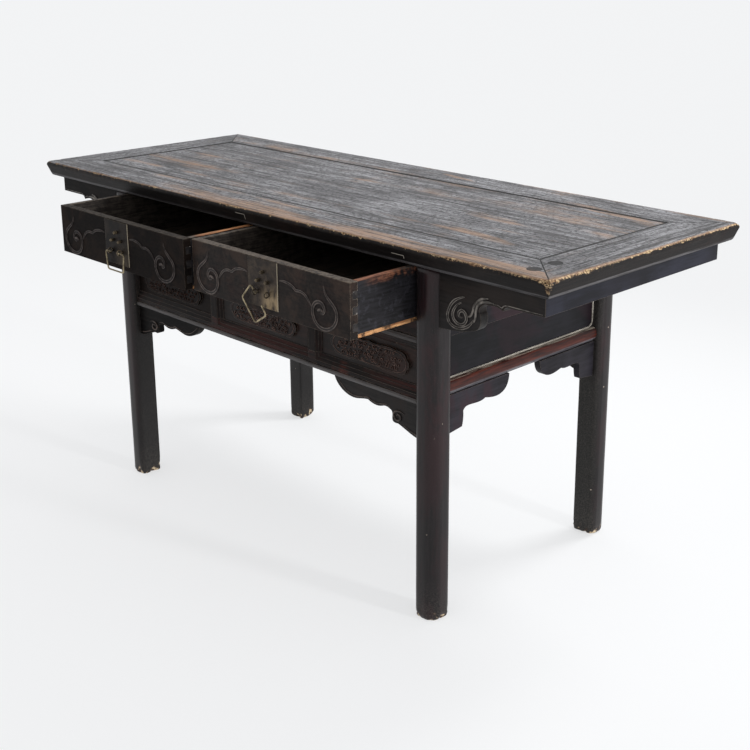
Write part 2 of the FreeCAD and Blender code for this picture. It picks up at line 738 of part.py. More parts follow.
def wing(name, side, end):
    """The apron's wing from its housing in a leg to the end of the top, mitred to the end apron."""
    start, tip = float(leg_out), float(apron_end)
    high, drop = float(under_top), float(s.wing_drop)
    runs = [[(side * (start + a * (tip - start)), high - d * drop) for a, d in points]
            for points in WING_SHARES]
    shallow = high - float(s.apron_height)
    runs[-1][-1] = (runs[-1][-1][0], shallow)
    housed = side * (start - float(s.wing_housing))
    corners = [runs[-1][-1], (side * tip, shallow), (side * tip, high), (housed, high),
               (housed, high - drop), runs[0][0]]
    runs += [list(pair) for pair in zip(corners, corners[1:])]
    front = -face if end < 0 else face - s.apron_thickness
    board = shaped_board(name + "_board", runs, front, s.apron_thickness)
    near = span(side, leg_out - s.wing_housing, apron_end)
    far = span(side, leg_out - s.wing_housing, apron_end - s.apron_thickness)
    ys = span(end, face - s.apron_thickness, face)
    outer_first = (near, far) if end < 0 else (far, near)
    plan = wedge(name + "_mitre", outer_first[0], ys, (under_top - s.wing_drop, under_top),
                 outer_first[1])
    piece(name, common(name, board, plan))


def end_apron(name, turn):
    inner = face - s.apron_thickness
    thing = wedge(name, (-face, face), (-apron_end, -apron_end + s.apron_thickness),
                  (under_top - s.apron_height, under_top), (-inner, inner))
    piece(name, thing, turn=turn)


for end_name, end in ENDS:
    for side_name, side in SIDES:
        wing("wing_%s_%s" % (end_name, side_name), side, end)
end_apron("end_apron_right", 90)
end_apron("end_apron_left", -90)


# Carved brackets under the bottom rails: share of the length from the leg, share of the drop
FRONT_SPANDREL_SHARES = (
    ((0, 1), (0.08, 0.95), (0.16, 0.86), (0.25, 0.76)),
    ((0.25, 0.76), (0.315, 0.64), (0.315, 0.50), (0.345, 0.415)),
    ((0.345, 0.415), (0.37, 0.385), (0.42, 0.40)),
    ((0.42, 0.40), (0.48, 0.45), (0.55, 0.43), (0.595, 0.375)),
    ((0.595, 0.375), (0.66, 0.41), (0.75, 0.47), (0.84, 0.44), (0.92, 0.32), (0.98, 0.13), (1, 0)),
)
END_SPANDREL_SHARES = (
    ((0, 1), (0.12, 0.965), (0.245, 0.93)),
    ((0.245, 0.93), (0.262, 0.74), (0.262, 0.53)),
    ((0.262, 0.53), (0.30, 0.45), (0.35, 0.435), (0.50, 0.455), (0.61, 0.41)),
    ((0.61, 0.41), (0.73, 0.47), (0.85, 0.465), (0.95, 0.34), (0.99, 0.16), (1, 0)),
)


def spandrel_runs(shares, start, sign, length, top, drop):
    """The outline from the leg at start, along the rail in the direction of sign."""
    runs = [[(start + sign * a * length, top - d * drop) for a, d in points] for points in shares]
    corner = (start, top)
    return runs + [[runs[-1][-1], corner], [corner, runs[0][0]]]


def long_spandrels():
    for end_name, end in ENDS:
        for side_name, side in SIDES:
            name = "spandrel_%s_%s" % (end_name, side_name)
            runs = spandrel_runs(FRONT_SPANDREL_SHARES, side * float(leg_in), -side,
                                 float(s.front_spandrel_length), float(bottom_rail_low),
                                 float(s.front_spandrel_drop))
            front = -face + s.spandrel_setback
            if end > 0:
                front = face - s.spandrel_setback - s.spandrel_thickness
            piece(name, shaped_board(name, runs, front, s.spandrel_thickness))


def end_spandrels():
    """Two brackets at each end of the table, drawn along X and turned to run from leg to leg."""
    for side_name, turn in (("left", -90), ("right", 90)):
        pair = []
        for hand in (-1, 1):
            runs = spandrel_runs(END_SPANDREL_SHARES, hand * float(leg_back), -hand,
                                 float(s.end_spandrel_length), float(end_rail_low),
                                 float(s.end_spandrel_drop))
            pair.append(shaped_board("%s_end_spandrel_%d" % (side_name, hand + 2), runs,
                                     -end_face + s.spandrel_setback, s.spandrel_thickness))
        name = side_name + "_end_spandrels"
        both = doc.addObject("Part::Compound", name)
        both.Links = pair
        piece(name, both, turn=turn)


long_spandrels()
end_spandrels()


# Inside the case

def compartment_floor():
    """The boards of the closed compartment under the drawers, let into all four bottom rails."""
    zs = (floor_low, floor_low + s.floor_thickness)
    wide_x = end_rail_in + s.tongue_length
    wide_y = rail_back + s.tongue_length
    clear_x = leg_in - s.fit_gap
    clear_y = leg_back - s.fit_gap
    along = block("floor_along", (-wide_x, wide_x), (-clear_y, clear_y), zs)
    across = block("floor_across", (-clear_x, clear_x), (-wide_y, wide_y), zs)
    piece("compartment_floor", join("compartment_floor", [along, across]))


def runners():
    """Bearers that the drawers slide on, from the front middle rail to the back one."""
    zs = (middle_rail_top - s.runner_height, middle_rail_top)
    guide_zs = (middle_rail_top, middle_rail_top + s.guide_rise)
    clear_y = leg_back - s.fit_gap
    for side_name, side in SIDES:
        name = side_name + "_runner"
        inner = end_board_in - s.runner_width
        bar = block(name + "_bar", span(side, inner, leg_in - s.fit_gap), (-rail_back, rail_back), zs)
        outer = block(name + "_wide", span(side, inner, end_board_in), (-clear_y, clear_y), zs)
        lath_in = leg_in - s.drawer_leg_gap + s.guide_gap
        lath = block(name + "_lath", span(side, lath_in, end_board_in), (-clear_y, clear_y),
                     guide_zs)
        piece(name, join(name, [bar, outer, lath]))
    half = s.runner_width / 2
    bar = block("centre_runner_bar", (-half, half), (-rail_back, rail_back), zs)
    lath = block("centre_runner_lath", (-s.guide_width / 2, s.guide_width / 2),
                 (-rail_back, rail_back), guide_zs)
    piece("centre_runner", join("centre_runner", [bar, lath]))


compartment_floor()
runners()


# The drawers, drawn shut and about their own middle

PIN_SHARES = (0.13, 0.43, 0.70)  # heights of the corner joint's pins, in shares of the front


def drawer_pins(name, side, gap):
    """The side's pins that show in the end of the front."""
    xs = span(side, drawer_width / 2 - s.side_thickness, drawer_width / 2)
    height = drawer_high - drawer_low
    ys = (-face + s.front_thickness / 3 - gap, -face + s.front_thickness)
    pins = []
    for number, share in enumerate(PIN_SHARES):
        low = drawer_low + height * share
        pins.append(block("%s_pin_%d" % (name, number), xs, ys, grow((low, low + s.pin_height), gap)))
    return pins


def fitting_spots():
    """Centres of the studs and eyes on a drawer's plate: x, z and whether it is an eye."""
    middle = -s.fittings_offset
    return (
        (middle - s.stud_spread / 2, plate_top - s.stud_depth, False),
        (middle + s.stud_spread / 2, plate_top - s.stud_depth, False),
        (middle, plate_top - s.top_stud_depth, False),
        (middle - s.eye_spread / 2, eye_z, True),
        (middle + s.eye_spread / 2, eye_z, True),
    )


def shank_holes(name):
    """Holes for the shanks of all five fittings, through the plate and into the front."""
    holes = []
    for number, (x, z, is_eye) in enumerate(fitting_spots()):
        holes.append(rod("%s_hole_%d" % (name, number), TO_FRONT, s.shank_radius + s.shank_gap,
                         s.shank_length + s.plate_thickness + s.overrun + s.shank_gap, x,
                         -face + s.shank_length + s.shank_gap, z))
    return holes


def fittings(name):
    """Three lock studs and the bail's two eyes, each a separate solid on its shank."""
    solids = []
    for number, (x, z, is_eye) in enumerate(fitting_spots()):
        stem_end = eye_y + s.eye_ring if is_eye else plate_face
        stem = rod("%s_stem_%d" % (name, number), TO_FRONT, s.shank_radius,
                   -face + s.shank_length - stem_end, x, -face + s.shank_length, z)
        if is_eye:
            ring = doc.addObject("Part::Torus", "%s_ring_%d" % (name, number))
            ring.Placement = Placement(Vector(0, 0, 0), ALONG_X)
            bind(ring, Radius1=s.eye_ring, Radius2=s.eye_wire, Placement__Base__x=x,
                 Placement__Base__y=eye_y, Placement__Base__z=z)
            solids.append(join("%s_eye_%d" % (name, number), [ring, stem]))
            continue
        head = rod("%s_head_%d" % (name, number), TO_FRONT, s.stud_radius,
                   s.stud_reach - s.stud_radius, x, plate_face, z)
        dome = doc.addObject("Part::Sphere", "%s_dome_%d" % (name, number))
        bind(dome, Radius=s.stud_radius, Placement__Base__x=x,
             Placement__Base__y=plate_face - s.stud_reach + s.stud_radius, Placement__Base__z=z)
        solids.append(join("%s_stud_%d" % (name, number), [stem, head, dome]))
    group = doc.addObject("Part::Compound", name)
    group.Links = solids
    return group


def rounded_path(points, radius):
    """A wire through the points with an arc of the radius at each inner one."""
    edges, start = [], points[0]
    for before, corner, after in zip(points, points[1:], points[2:]):
        back = (before - corner).normalize()
        ahead = (after - corner).normalize()
        half_angle = back.getAngle(ahead) / 2
        cut = radius / math.tan(half_angle)
        first, last = corner + back * cut, corner + ahead * cut
        centre = corner + (back + ahead).normalize() * (radius / math.sin(half_angle))
        middle = centre + (corner - centre).normalize() * radius
        edges.append(Part.LineSegment(start, first).toShape())
        edges.append(Part.Arc(first, middle, last).toShape())
        start = last
    edges.append(Part.LineSegment(start, points[-1]).toShape())
    return Part.Wire(edges)


def bail(name, tilt):
    """The bail's rod, lying in both eyes, or tilted about its left eye where it hangs by that."""
    eye = float(s.eye_spread) / 2
    inner = eye - float(s.bail_end)
    top, bottom, drop = float(s.bail_top) / 2, float(s.bail_bottom) / 2, float(s.bail_drop)
    left_half = [(-inner, 0), (-top, 0), (-bottom, -drop)]
    right_half = [(-x, z) for x, z in reversed(left_half)]
    height = eye_z if tilt else eye_z - bail_sag
    left_eye = Vector(-float(s.fittings_offset) - eye, float(eye_y), float(height))
    turn = Rotation(Vector(0, 1, 0), tilt)
    points = [left_eye + turn.multVec(Vector(eye + x, 0, z)) for x, z in left_half + right_half]
    direction = (points[1] - points[0]).normalize()
    disc = Part.Wire(Part.Circle(points[0], direction, float(s.bail_wire)).toShape())
    thing = doc.addObject("Part::Feature", name)
    thing.Shape = rounded_path(points, float(s.bail_bend)).makePipeShell([disc], True, False)
    return thing


def drawer(side_name, side, opened, tilt):
    x, y = drawer_middle * side, case_y - opened
    title = side_name + "_drawer_"
    half = drawer_width / 2
    front_back = -face + s.front_thickness
    end = -face + s.drawer_length
    floor_top = drawer_low + s.bottom_thickness
    front = block(title + "front_board", (-half, half), (-face, front_back), (drawer_low, drawer_high))
    notches = drawer_pins(title + "left_notch", -1, s.fit_gap)
    notches += drawer_pins(title + "right_notch", 1, s.fit_gap)
    piece(title + "front", carve(title + "front", front, notches + shank_holes(title)), x, y)
    for hand_name, hand in SIDES:
        name = title + hand_name + "_side"
        board = block(name + "_board", span(hand, half - s.side_thickness, half), (front_back, end),
                      (floor_top, drawer_high))
        piece(name, join(name, [board] + drawer_pins(name, hand, ZERO)), x, y)
    inner = half - s.side_thickness
    keep(title + "back", block(title + "back", (-inner, inner), (end - s.side_thickness, end),
                               (floor_top, drawer_high), x, y))
    keep(title + "bottom", block(title + "bottom", (-half, half), (front_back, end),
                                 (drawer_low, floor_top), x, y))
    plate_half = s.plate_width / 2
    plate = block(title + "plate_sheet", (-s.fittings_offset - plate_half,
                                          -s.fittings_offset + plate_half), (plate_face, -face),
                  (plate_top - s.plate_height, plate_top))
    piece(title + "plate", carve(title + "plate", plate, shank_holes(title + "plate")), x, y)
    piece(title + "studs", fittings(title + "studs"), x, y)
    piece(side_name + "_bail", bail(side_name + "_bail", tilt), x, y)


drawer("left", -1, s.left_open, 0)
drawer("right", 1, s.right_open, LOOSE_BAIL_TILT)


# Check every object, then write every piece

doc.recompute()
for thing in doc.Objects:
    if "Invalid" in thing.State or "Error" in thing.State:
        raise RuntimeError("%s did not rebuild: %s" % (thing.Label, thing.State))
for thing in pieces:
    if thing.Shape.isNull() or not thing.Shape.isValid() or not thing.Shape.Solids:
        raise RuntimeError("%s has no sound shape" % thing.Label)
os.makedirs("parts", exist_ok=True)
for thing in pieces:
    thing.Shape.exportStep("parts/%s.step" % thing.Label)
print(len(pieces), "pieces; the case stands", round(float(case_y), 2), "behind the origin")
print("front reach", round(float(front_reach), 2), "drawer width", round(float(drawer_width), 2),
      "eye height", round(float(eye_z), 2))
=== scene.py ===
"""Looks of the altar table: lacquer, grey weathered top, carving, brass and studio light."""

import math
import random

import bmesh
import bpy
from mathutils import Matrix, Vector, noise


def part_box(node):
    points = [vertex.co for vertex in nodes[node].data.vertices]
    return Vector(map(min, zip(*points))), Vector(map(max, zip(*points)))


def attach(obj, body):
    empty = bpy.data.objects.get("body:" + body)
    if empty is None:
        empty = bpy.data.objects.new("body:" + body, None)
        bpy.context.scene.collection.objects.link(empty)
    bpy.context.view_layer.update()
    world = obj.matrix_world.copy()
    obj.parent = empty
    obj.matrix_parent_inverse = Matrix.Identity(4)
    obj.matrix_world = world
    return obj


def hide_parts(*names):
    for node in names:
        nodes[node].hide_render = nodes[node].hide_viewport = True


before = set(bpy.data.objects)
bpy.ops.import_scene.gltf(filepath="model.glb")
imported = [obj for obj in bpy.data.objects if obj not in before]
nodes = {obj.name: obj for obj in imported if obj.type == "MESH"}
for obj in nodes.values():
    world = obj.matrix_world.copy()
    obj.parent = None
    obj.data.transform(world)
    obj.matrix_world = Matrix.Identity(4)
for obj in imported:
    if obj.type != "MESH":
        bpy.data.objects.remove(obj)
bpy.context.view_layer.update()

MM = 0.001

# The top: its middle line, the half size of its frame's opening, its height, the boards' seam
TOP_MIDDLE = (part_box("top_frame_front")[0].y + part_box("top_frame_back")[1].y) / 2
OPENING_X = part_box("top_frame_right")[0].x
OPENING_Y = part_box("top_frame_back")[0].y - TOP_MIDDLE
TOP_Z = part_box("top_frame_front")[1].z
SEAM_Y = (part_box("top_board_front")[1].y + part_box("top_board_back")[0].y) / 2


# Sums in a finish

class Wire:
    """A value, colour or direction inside a finish, which sums can be written with."""

    def __init__(self, finish, socket):
        self.finish = finish
        self.socket = socket

    def sum(self, operation, *values):
        return self.finish.add("ShaderNodeMath", {"operation": operation}, dict(enumerate(values)))

    def __add__(self, other):
        return self.sum("ADD", self, other)

    def __radd__(self, other):
        return self.sum("ADD", other, self)

    def __sub__(self, other):
        return self.sum("SUBTRACT", self, other)

    def __rsub__(self, other):
        return self.sum("SUBTRACT", other, self)

    def __mul__(self, other):
        return self.sum("MULTIPLY", self, other)

    def __rmul__(self, other):
        return self.sum("MULTIPLY", other, self)

    def __truediv__(self, other):
        return self.sum("DIVIDE", self, other)

    def size(self):
        return self.sum("ABSOLUTE", self)

    def greater(self, other):
        return self.sum("MAXIMUM", self, other)

    def rise(self, low, high):
        """From 0 at low to 1 at high, smoothly; high may be the smaller."""
        return self.finish.add("ShaderNodeMapRange", {"interpolation_type": "SMOOTHSTEP"},
                               {0: self, 1: low, 2: high})

    def line(self, middle, half_width, blur):
        """1 within half_width of a middle value, 0 beyond the blur."""
        return (self - middle).size().rise(half_width + blur, half_width)

    def stretched(self, factors):
        return self.finish.add("ShaderNodeVectorMath", {"operation": "MULTIPLY"},
                               {0: self, 1: factors})

    def shifted(self, step):
        return self.finish.add("ShaderNodeVectorMath", {"operation": "ADD"}, {0: self, 1: step})

    def root(self):
        return self.sum("SQRT", self)

    def under(self, mask, red, green, blue):
        """This colour with another one over it where the mask is 1; the tones are as seen."""
        return self.finish.mix(mask, self, tone(red, green, blue))

    def part(self, index):
        return self.finish.add("ShaderNodeSeparateXYZ", None, {0: self}, index)


class Nodes:
    """Nodes being joined up, in a finish or in the light all round."""

    def __init__(self, tree):
        self.tree = tree

    def feed(self, socket, value):
        if isinstance(value, Wire):
            self.tree.links.new(value.socket, socket)
        elif socket.type == "RGBA" and len(value) == 3:
            socket.default_value = (*value, 1)
        else:
            socket.default_value = value

    def add(self, kind, settings=None, values=None, out=0):
        """Adds a node: its settings come first, then the values or wires of its sockets."""
        made = self.tree.nodes.new(kind)
        for name, setting in (settings or {}).items():
            setattr(made, name, setting)
        for key, value in (values or {}).items():
            self.feed(made.inputs[key], value)
        return Wire(self, made.outputs[out])

    def mix(self, mask, first, second):
        return self.add("ShaderNodeMix", {"data_type": "RGBA"}, {0: mask, 6: first, 7: second}, 2)

    def looked_at(self):
        """1 where the camera, a shiny face or glass looks this way, 0 where light is gathered."""
        camera, shine, glass = (self.add("ShaderNodeLightPath", out=ray) for ray in (
            "Is Camera Ray", "Is Glossy Ray", "Is Transmission Ray"))
        return camera.greater(shine).greater(glass)


class Finish(Nodes):
    """A finish being mixed: its nodes and its shader."""

    def __init__(self, name, **fixed):
        self.material = bpy.data.materials.new(name)
        self.material.use_nodes = True
        super().__init__(self.material.node_tree)
        self.shader = self.tree.nodes["Principled BSDF"]
        self.coat(**fixed)

    def place(self):
        """Where a point lies on the table, in metres."""
        return self.add("ShaderNodeTexCoord", out="Object")

    def noise(self, place, scale, detail=3, roughness=0.55, twist=0):
        return self.add("ShaderNodeTexNoise", None, {
            "Vector": place, "Scale": scale, "Detail": detail, "Roughness": roughness,
            "Distortion": twist})

    def specks(self, place, scale):
        """Distance from scattered points, in cells."""
        return self.add("ShaderNodeTexVoronoi", None, {"Vector": place, "Scale": scale})

    def worn(self):
        """How rubbed a point of the piece is, from 0 to about 1."""
        return self.add("ShaderNodeAttribute", {"attribute_name": "worn"}, out="Fac")

    def rounded(self, radius):
        """The way a face looks when its corners are rounded over."""
        return self.add("ShaderNodeBevel", {"samples": 6}, {"Radius": radius})

    def edges(self, radius):
        """0 on the flat, towards 1 close to an edge or an inner corner."""
        flat = self.add("ShaderNodeNewGeometry", out="Normal")
        dot = self.add("ShaderNodeVectorMath", {"operation": "DOT_PRODUCT"},
                       {0: self.rounded(radius), 1: flat}, 1)
        return (1 - dot).rise(0.02, 0.22)

    def bump(self, height, depth, normal=None):
        values = {"Strength": 1, "Distance": depth, "Height": height}
        if normal is not None:
            values["Normal"] = normal
        return self.add("ShaderNodeBump", None, values)

    def coat(self, **sockets):
        for socket, value in sockets.items():
            self.feed(self.shader.inputs[socket.replace("_", " ")], value)
        return self.material

    def done(self, colour, rough, height, depth, corner=None):
        """The finish, its height raised by depth and its hard corners softened."""
        normal = None if corner is None else self.rounded(corner)
        return self.coat(Base_Color=colour, Roughness=rough,
                         Normal=self.bump(height, depth, normal))


# Colours as they are seen, from 0 to 255, turned into the renderer's own

def tone(red, green, blue):
    def plain(value):
        share = value / 255
        return share / 12.92 if share <= 0.04045 else ((share + 0.055) / 1.055) ** 2.4
    return plain(red), plain(green), plain(blue)


# How a grain stretches along each way of the table
ALONG_X = (0.07, 1, 1)
ALONG_Y = (1, 0.07, 1)
ALONG_Z = (1, 1, 0.07)
LONG_X = (0.035, 1, 1)
LONG_Y = (1, 0.035, 1)

BLACK = tone(15, 12, 12)
SOFT_BLACK = tone(33, 27, 25)
DUSTY = tone(58, 51, 47)
RED_BROWN = tone(74, 34, 26)
RUBBED = tone(124, 112, 100)
PALE_WOOD = tone(196, 170, 132)


def black_lacquer(f, place, grain, red, worn):
    """Colour, roughness and height of old lacquer, to mix with others."""
    fibre = place.stretched(grain)
    streaks = f.noise(fibre, 240, 4, 0.6)
    cloud = f.noise(place, 9, 4, 0.62, 0.4)
    bloom = f.noise(place.shifted((3, 5, 7)), 4.2, 4, 0.66, 0.8)
    colour = f.mix(streaks.rise(0.38, 0.66), BLACK, SOFT_BLACK)
    colour = f.mix(cloud.rise(0.5, 0.74) * 0.55, colour, DUSTY)
    colour = f.mix(bloom.rise(0.5, 0.66) * streaks.rise(0.3, 0.6) * red, colour, RED_BROWN)
    patchy = f.noise(place, 60, 3, 0.65).rise(0.36, 0.62)
    colour = f.mix(f.edges(2 * MM) * patchy * worn, colour, RUBBED)
    dots = f.specks(place, 46).rise(0.1, 0.05) * f.noise(place, 24).rise(0.58, 0.64)
    colour = colour.under(dots * 0.75, 160, 142, 122)
    rough = 0.36 + cloud * 0.18 + streaks * 0.08
    height = streaks * 0.4 + f.noise(place, 300, 3, 0.6) * 0.25 + cloud * 0.9
    return colour, rough, height


def lacquer(name, grain, red=0.35, worn=0.6, shift=(0, 0, 0)):
    """Old black-brown lacquer: reddish undercoat, rubbed edges, fine grain and soft sheen."""
    f = Finish(name, Specular_IOR_Level=0.09)
    colour, rough, height = black_lacquer(f, f.place().shifted(shift), grain, red, worn)
    return f.done(colour, rough, height, 0.3 * MM, 1.6 * MM)


def smooth_lacquer(name, grain, dark, light, blush, shift=(0, 0, 0), sheen=1):
    """Lacquer that has kept its even black, with large patches of another tint."""
    f = Finish(name, Specular_IOR_Level=0.13 * sheen)
    place = f.place().shifted(shift)
    streaks = f.noise(place.stretched(grain), 150, 4, 0.6)
    cloud = f.noise(place, 7, 4, 0.6, 0.4)
    patches = f.noise(place.shifted((2, 8, 1)), 5, 4, 0.62, 0.6)
    colour = f.mix((streaks * 0.4 + cloud * 0.6).rise(0.4, 0.64), dark, light)
    colour = f.mix(patches.rise(0.48, 0.62) * 0.6, colour, blush)
    colour = f.mix(f.edges(1.6 * MM) * 0.5, colour, RUBBED)
    return f.done(colour, 0.32 + cloud * 0.2, streaks * 0.3 + cloud, 0.3 * MM, 1.6 * MM)


def banded_lacquer(name, low, high, red):
    """A front rail: grey between the heights given, rubbed and with painted light on it, redder above,
    most in its middle.
    """
    f = Finish(name, Specular_IOR_Level=0.11)
    place = f.place()
    colour, rough, height = black_lacquer(f, place, ALONG_X, red, 0.7)
    x, z = place.part(0), place.part(2)
    fibre = place.stretched(ALONG_X)
    rubbed = f.noise(fibre, 120, 4, 0.65)
    rubbed_and_lit_band = z.rise(low - 1 * MM, low) * z.rise(high + 1 * MM, high)
    rosy = f.noise(fibre, 20, 4, 0.6) + x.line(-0.03, 0.13, 0.16) * 0.12
    rosy = rosy.rise(0.53, 0.63) * z.rise(high, high + 1 * MM) * rubbed.rise(0.25, 0.5)
    colour = colour.under(rosy * red * 0.9, 64, 34, 31)
    # The grey band is partly rubbing, partly painted light on the rail's rounded edge.
    colour = colour.under(rubbed_and_lit_band * rubbed.rise(0.3, 0.6) * 0.85, 86, 83, 82)
    return f.done(colour, rough, height, 0.3 * MM, 1.6 * MM)


def drawer_lacquer(side, sheen):
    """A drawer's front: brown-black, dusty on top, pale at its corners; the left one darkened by
    painted shade.
    """
    low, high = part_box(side + "_drawer_front")
    f = Finish(side + " drawer front lacquer", Specular_IOR_Level=0.09 * sheen)
    place = f.place()
    colour, rough, height = black_lacquer(f, place.shifted((0, 0, 6)), ALONG_X, 0.25, 0.9)
    x, z = place.part(0), place.part(2)
    mottle = f.noise(place, 150, 4, 0.68)
    blotch = f.noise(place.shifted((1, 2, 3)), 13, 5, 0.68, 0.5)
    colour = f.mix(0.45, colour, f.mix(mottle.rise(0.36, 0.64), tone(22, 18, 17), tone(44, 38, 35)))
    colour = colour.under(blotch.rise(0.46, 0.62) * 0.55, 60, 47, 40)
    top = z.rise(high.z - 2.2 * MM, high.z - 0.6 * MM)
    colour = colour.under(top * mottle.rise(0.34, 0.6) * 0.8, 98, 88, 78)
    corner = f.edges(3 * MM) * (x - (low.x + high.x) / 2).size().rise(0.2, 0.25)
    colour = colour.under(corner * mottle.rise(0.48, 0.6) * 0.7, 140, 128, 112)
    border = f.edges(1.3 * MM) * mottle.rise(0.3, 0.5) * (1 - top)
    colour = colour.under(border * 0.6, 122, 112, 100)
    # Painted shade: the left drawer's front is darkened, as the light falls off to the left.
    if side == "left":
        colour = colour.under(0.6, 12, 11, 11)
    return f.done(colour, rough, height, 0.3 * MM, 1.8 * MM)


def carved_lacquer(name, ground, crest, sheen=1):
    """Lacquer on carving: darker in the cuts, rubbed to a lighter brown on the ridges."""
    f = Finish(name, Specular_IOR_Level=0.2 * sheen)
    place = f.place()
    high = f.worn()
    patchy = f.noise(place, 70, 4, 0.65)
    mask = high.rise(0.35, 0.95) * (0.25 + patchy.rise(0.38, 0.6) * 0.75)
    colour = f.mix(mask, ground, crest)
    return f.done(colour, 0.36 + patchy * 0.16, patchy, 0.4 * MM)


# How far out along X and Y together a leg turns from its flat inside to its round outside
LEG_ROUNDING = (0.826, 0.858)


def leg_lacquer():
    """Legs: violet-brown and glossy on their round outsides, dusty grey on their flat insides."""
    f = Finish("leg lacquer", Specular_IOR_Level=0.28)
    place = f.place()
    x, y, z = (place.part(index) for index in range(3))
    streaks = f.noise(place.stretched(ALONG_Z), 210, 4, 0.62)
    dust = f.noise(place, 330, 4, 0.7)
    cloud = f.noise(place.stretched((1, 1, 0.3)), 17, 4, 0.66, 0.4)
    outside = (x.size() + (y - TOP_MIDDLE).size()).rise(*LEG_ROUNDING)
    outer = f.mix(streaks.rise(0.3, 0.74), tone(17, 13, 14), tone(32, 26, 28))
    outer = outer.under(cloud.rise(0.44, 0.62) * 0.6, 44, 22, 25)
    outer = outer.under(dust.rise(0.56, 0.7) * 0.25, 70, 64, 64)
    inner = f.mix(dust.rise(0.36, 0.7), tone(28, 27, 26), tone(68, 65, 61))
    inner = inner.under(cloud.rise(0.46, 0.66) * 0.55, 28, 24, 23)
    # The left legs' insides are darker: less dust there, and painted shade.
    inner = inner.under(x.rise(0.2, -0.2) * 0.6, 24, 21, 22)
    colour = f.mix(outside, inner, outer)
    # Painted shade: darker towards the floor.
    colour = colour.under(z.rise(0.62, 0.2) * 0.3, 12, 11, 12)
    colour = colour.under(z.rise(0.12, 0.0) * dust.rise(0.42, 0.6) * 0.22, 98, 92, 86)
    dots = f.specks(place, 38).rise(0.09, 0.05) * f.noise(place, 22).rise(0.56, 0.62)
    colour = colour.under(dots * 0.8, 176, 162, 148)
    gone = f.worn()
    colour = colour.under(gone.rise(0.15, 0.6) * 0.85, 66, 46, 36)
    pale = gone.rise(0.3, 0.65) * f.noise(place, 64, 4, 0.7).rise(0.48, 0.54)
    colour = colour.under(pale, 212, 192, 160)
    rough = 0.54 - outside * 0.26 + cloud * 0.1
    return f.done(colour, rough, streaks * 0.2 + dust * 0.4 + cloud, 0.3 * MM)


def end_rail_lacquer():
    """The rounded end rails: red where hands and feet have rubbed them, grey beneath."""
    f = Finish("end rail lacquer", Specular_IOR_Level=0.16)
    place = f.place()
    z = place.part(2)
    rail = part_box("right_end_rail")
    fibre = place.stretched(ALONG_Y)
    streaks = f.noise(fibre, 190, 5, 0.66)
    broad = f.noise(fibre, 36, 4, 0.62, 0.4)
    red = f.mix(streaks.rise(0.3, 0.7), tone(38, 16, 14), tone(82, 35, 24))
    red = red.under(broad.rise(0.48, 0.62) * 0.75, 28, 20, 20)
    grey = f.mix(streaks.rise(0.34, 0.62), tone(56, 54, 58), tone(98, 96, 100))
    colour = f.mix(z.rise(rail[0].z + 13 * MM, rail[0].z + 9 * MM), red, grey)
    top = z.rise(rail[1].z - 3 * MM, rail[1].z - 1 * MM)
    colour = colour.under(top * streaks.rise(0.36, 0.6) * 0.8, 150, 142, 130)
    return f.done(colour, 0.3 + broad * 0.16, streaks * 0.5 + broad, 0.35 * MM)


PLUGS = ((0.806, -0.190), (0.808, -0.128))
PLUG_RADIUS = 14 * MM
RUBBED_PLACES = (  # middle, half length and half width of the tan places, in metres
    (0.47, 0.085, 0.15, 0.035), (0.62, 0.31, 0.16, 0.02), (0.1, 0.38, 0.08, 0.012),
    (0.58, -0.06, 0.12, 0.02))
SCRATCHES = (  # light hooked scratches on the front edge, in metres
    (0.470, 0.505, 0.813, 0.820), (-0.042, -0.009, 0.813, 0.825))


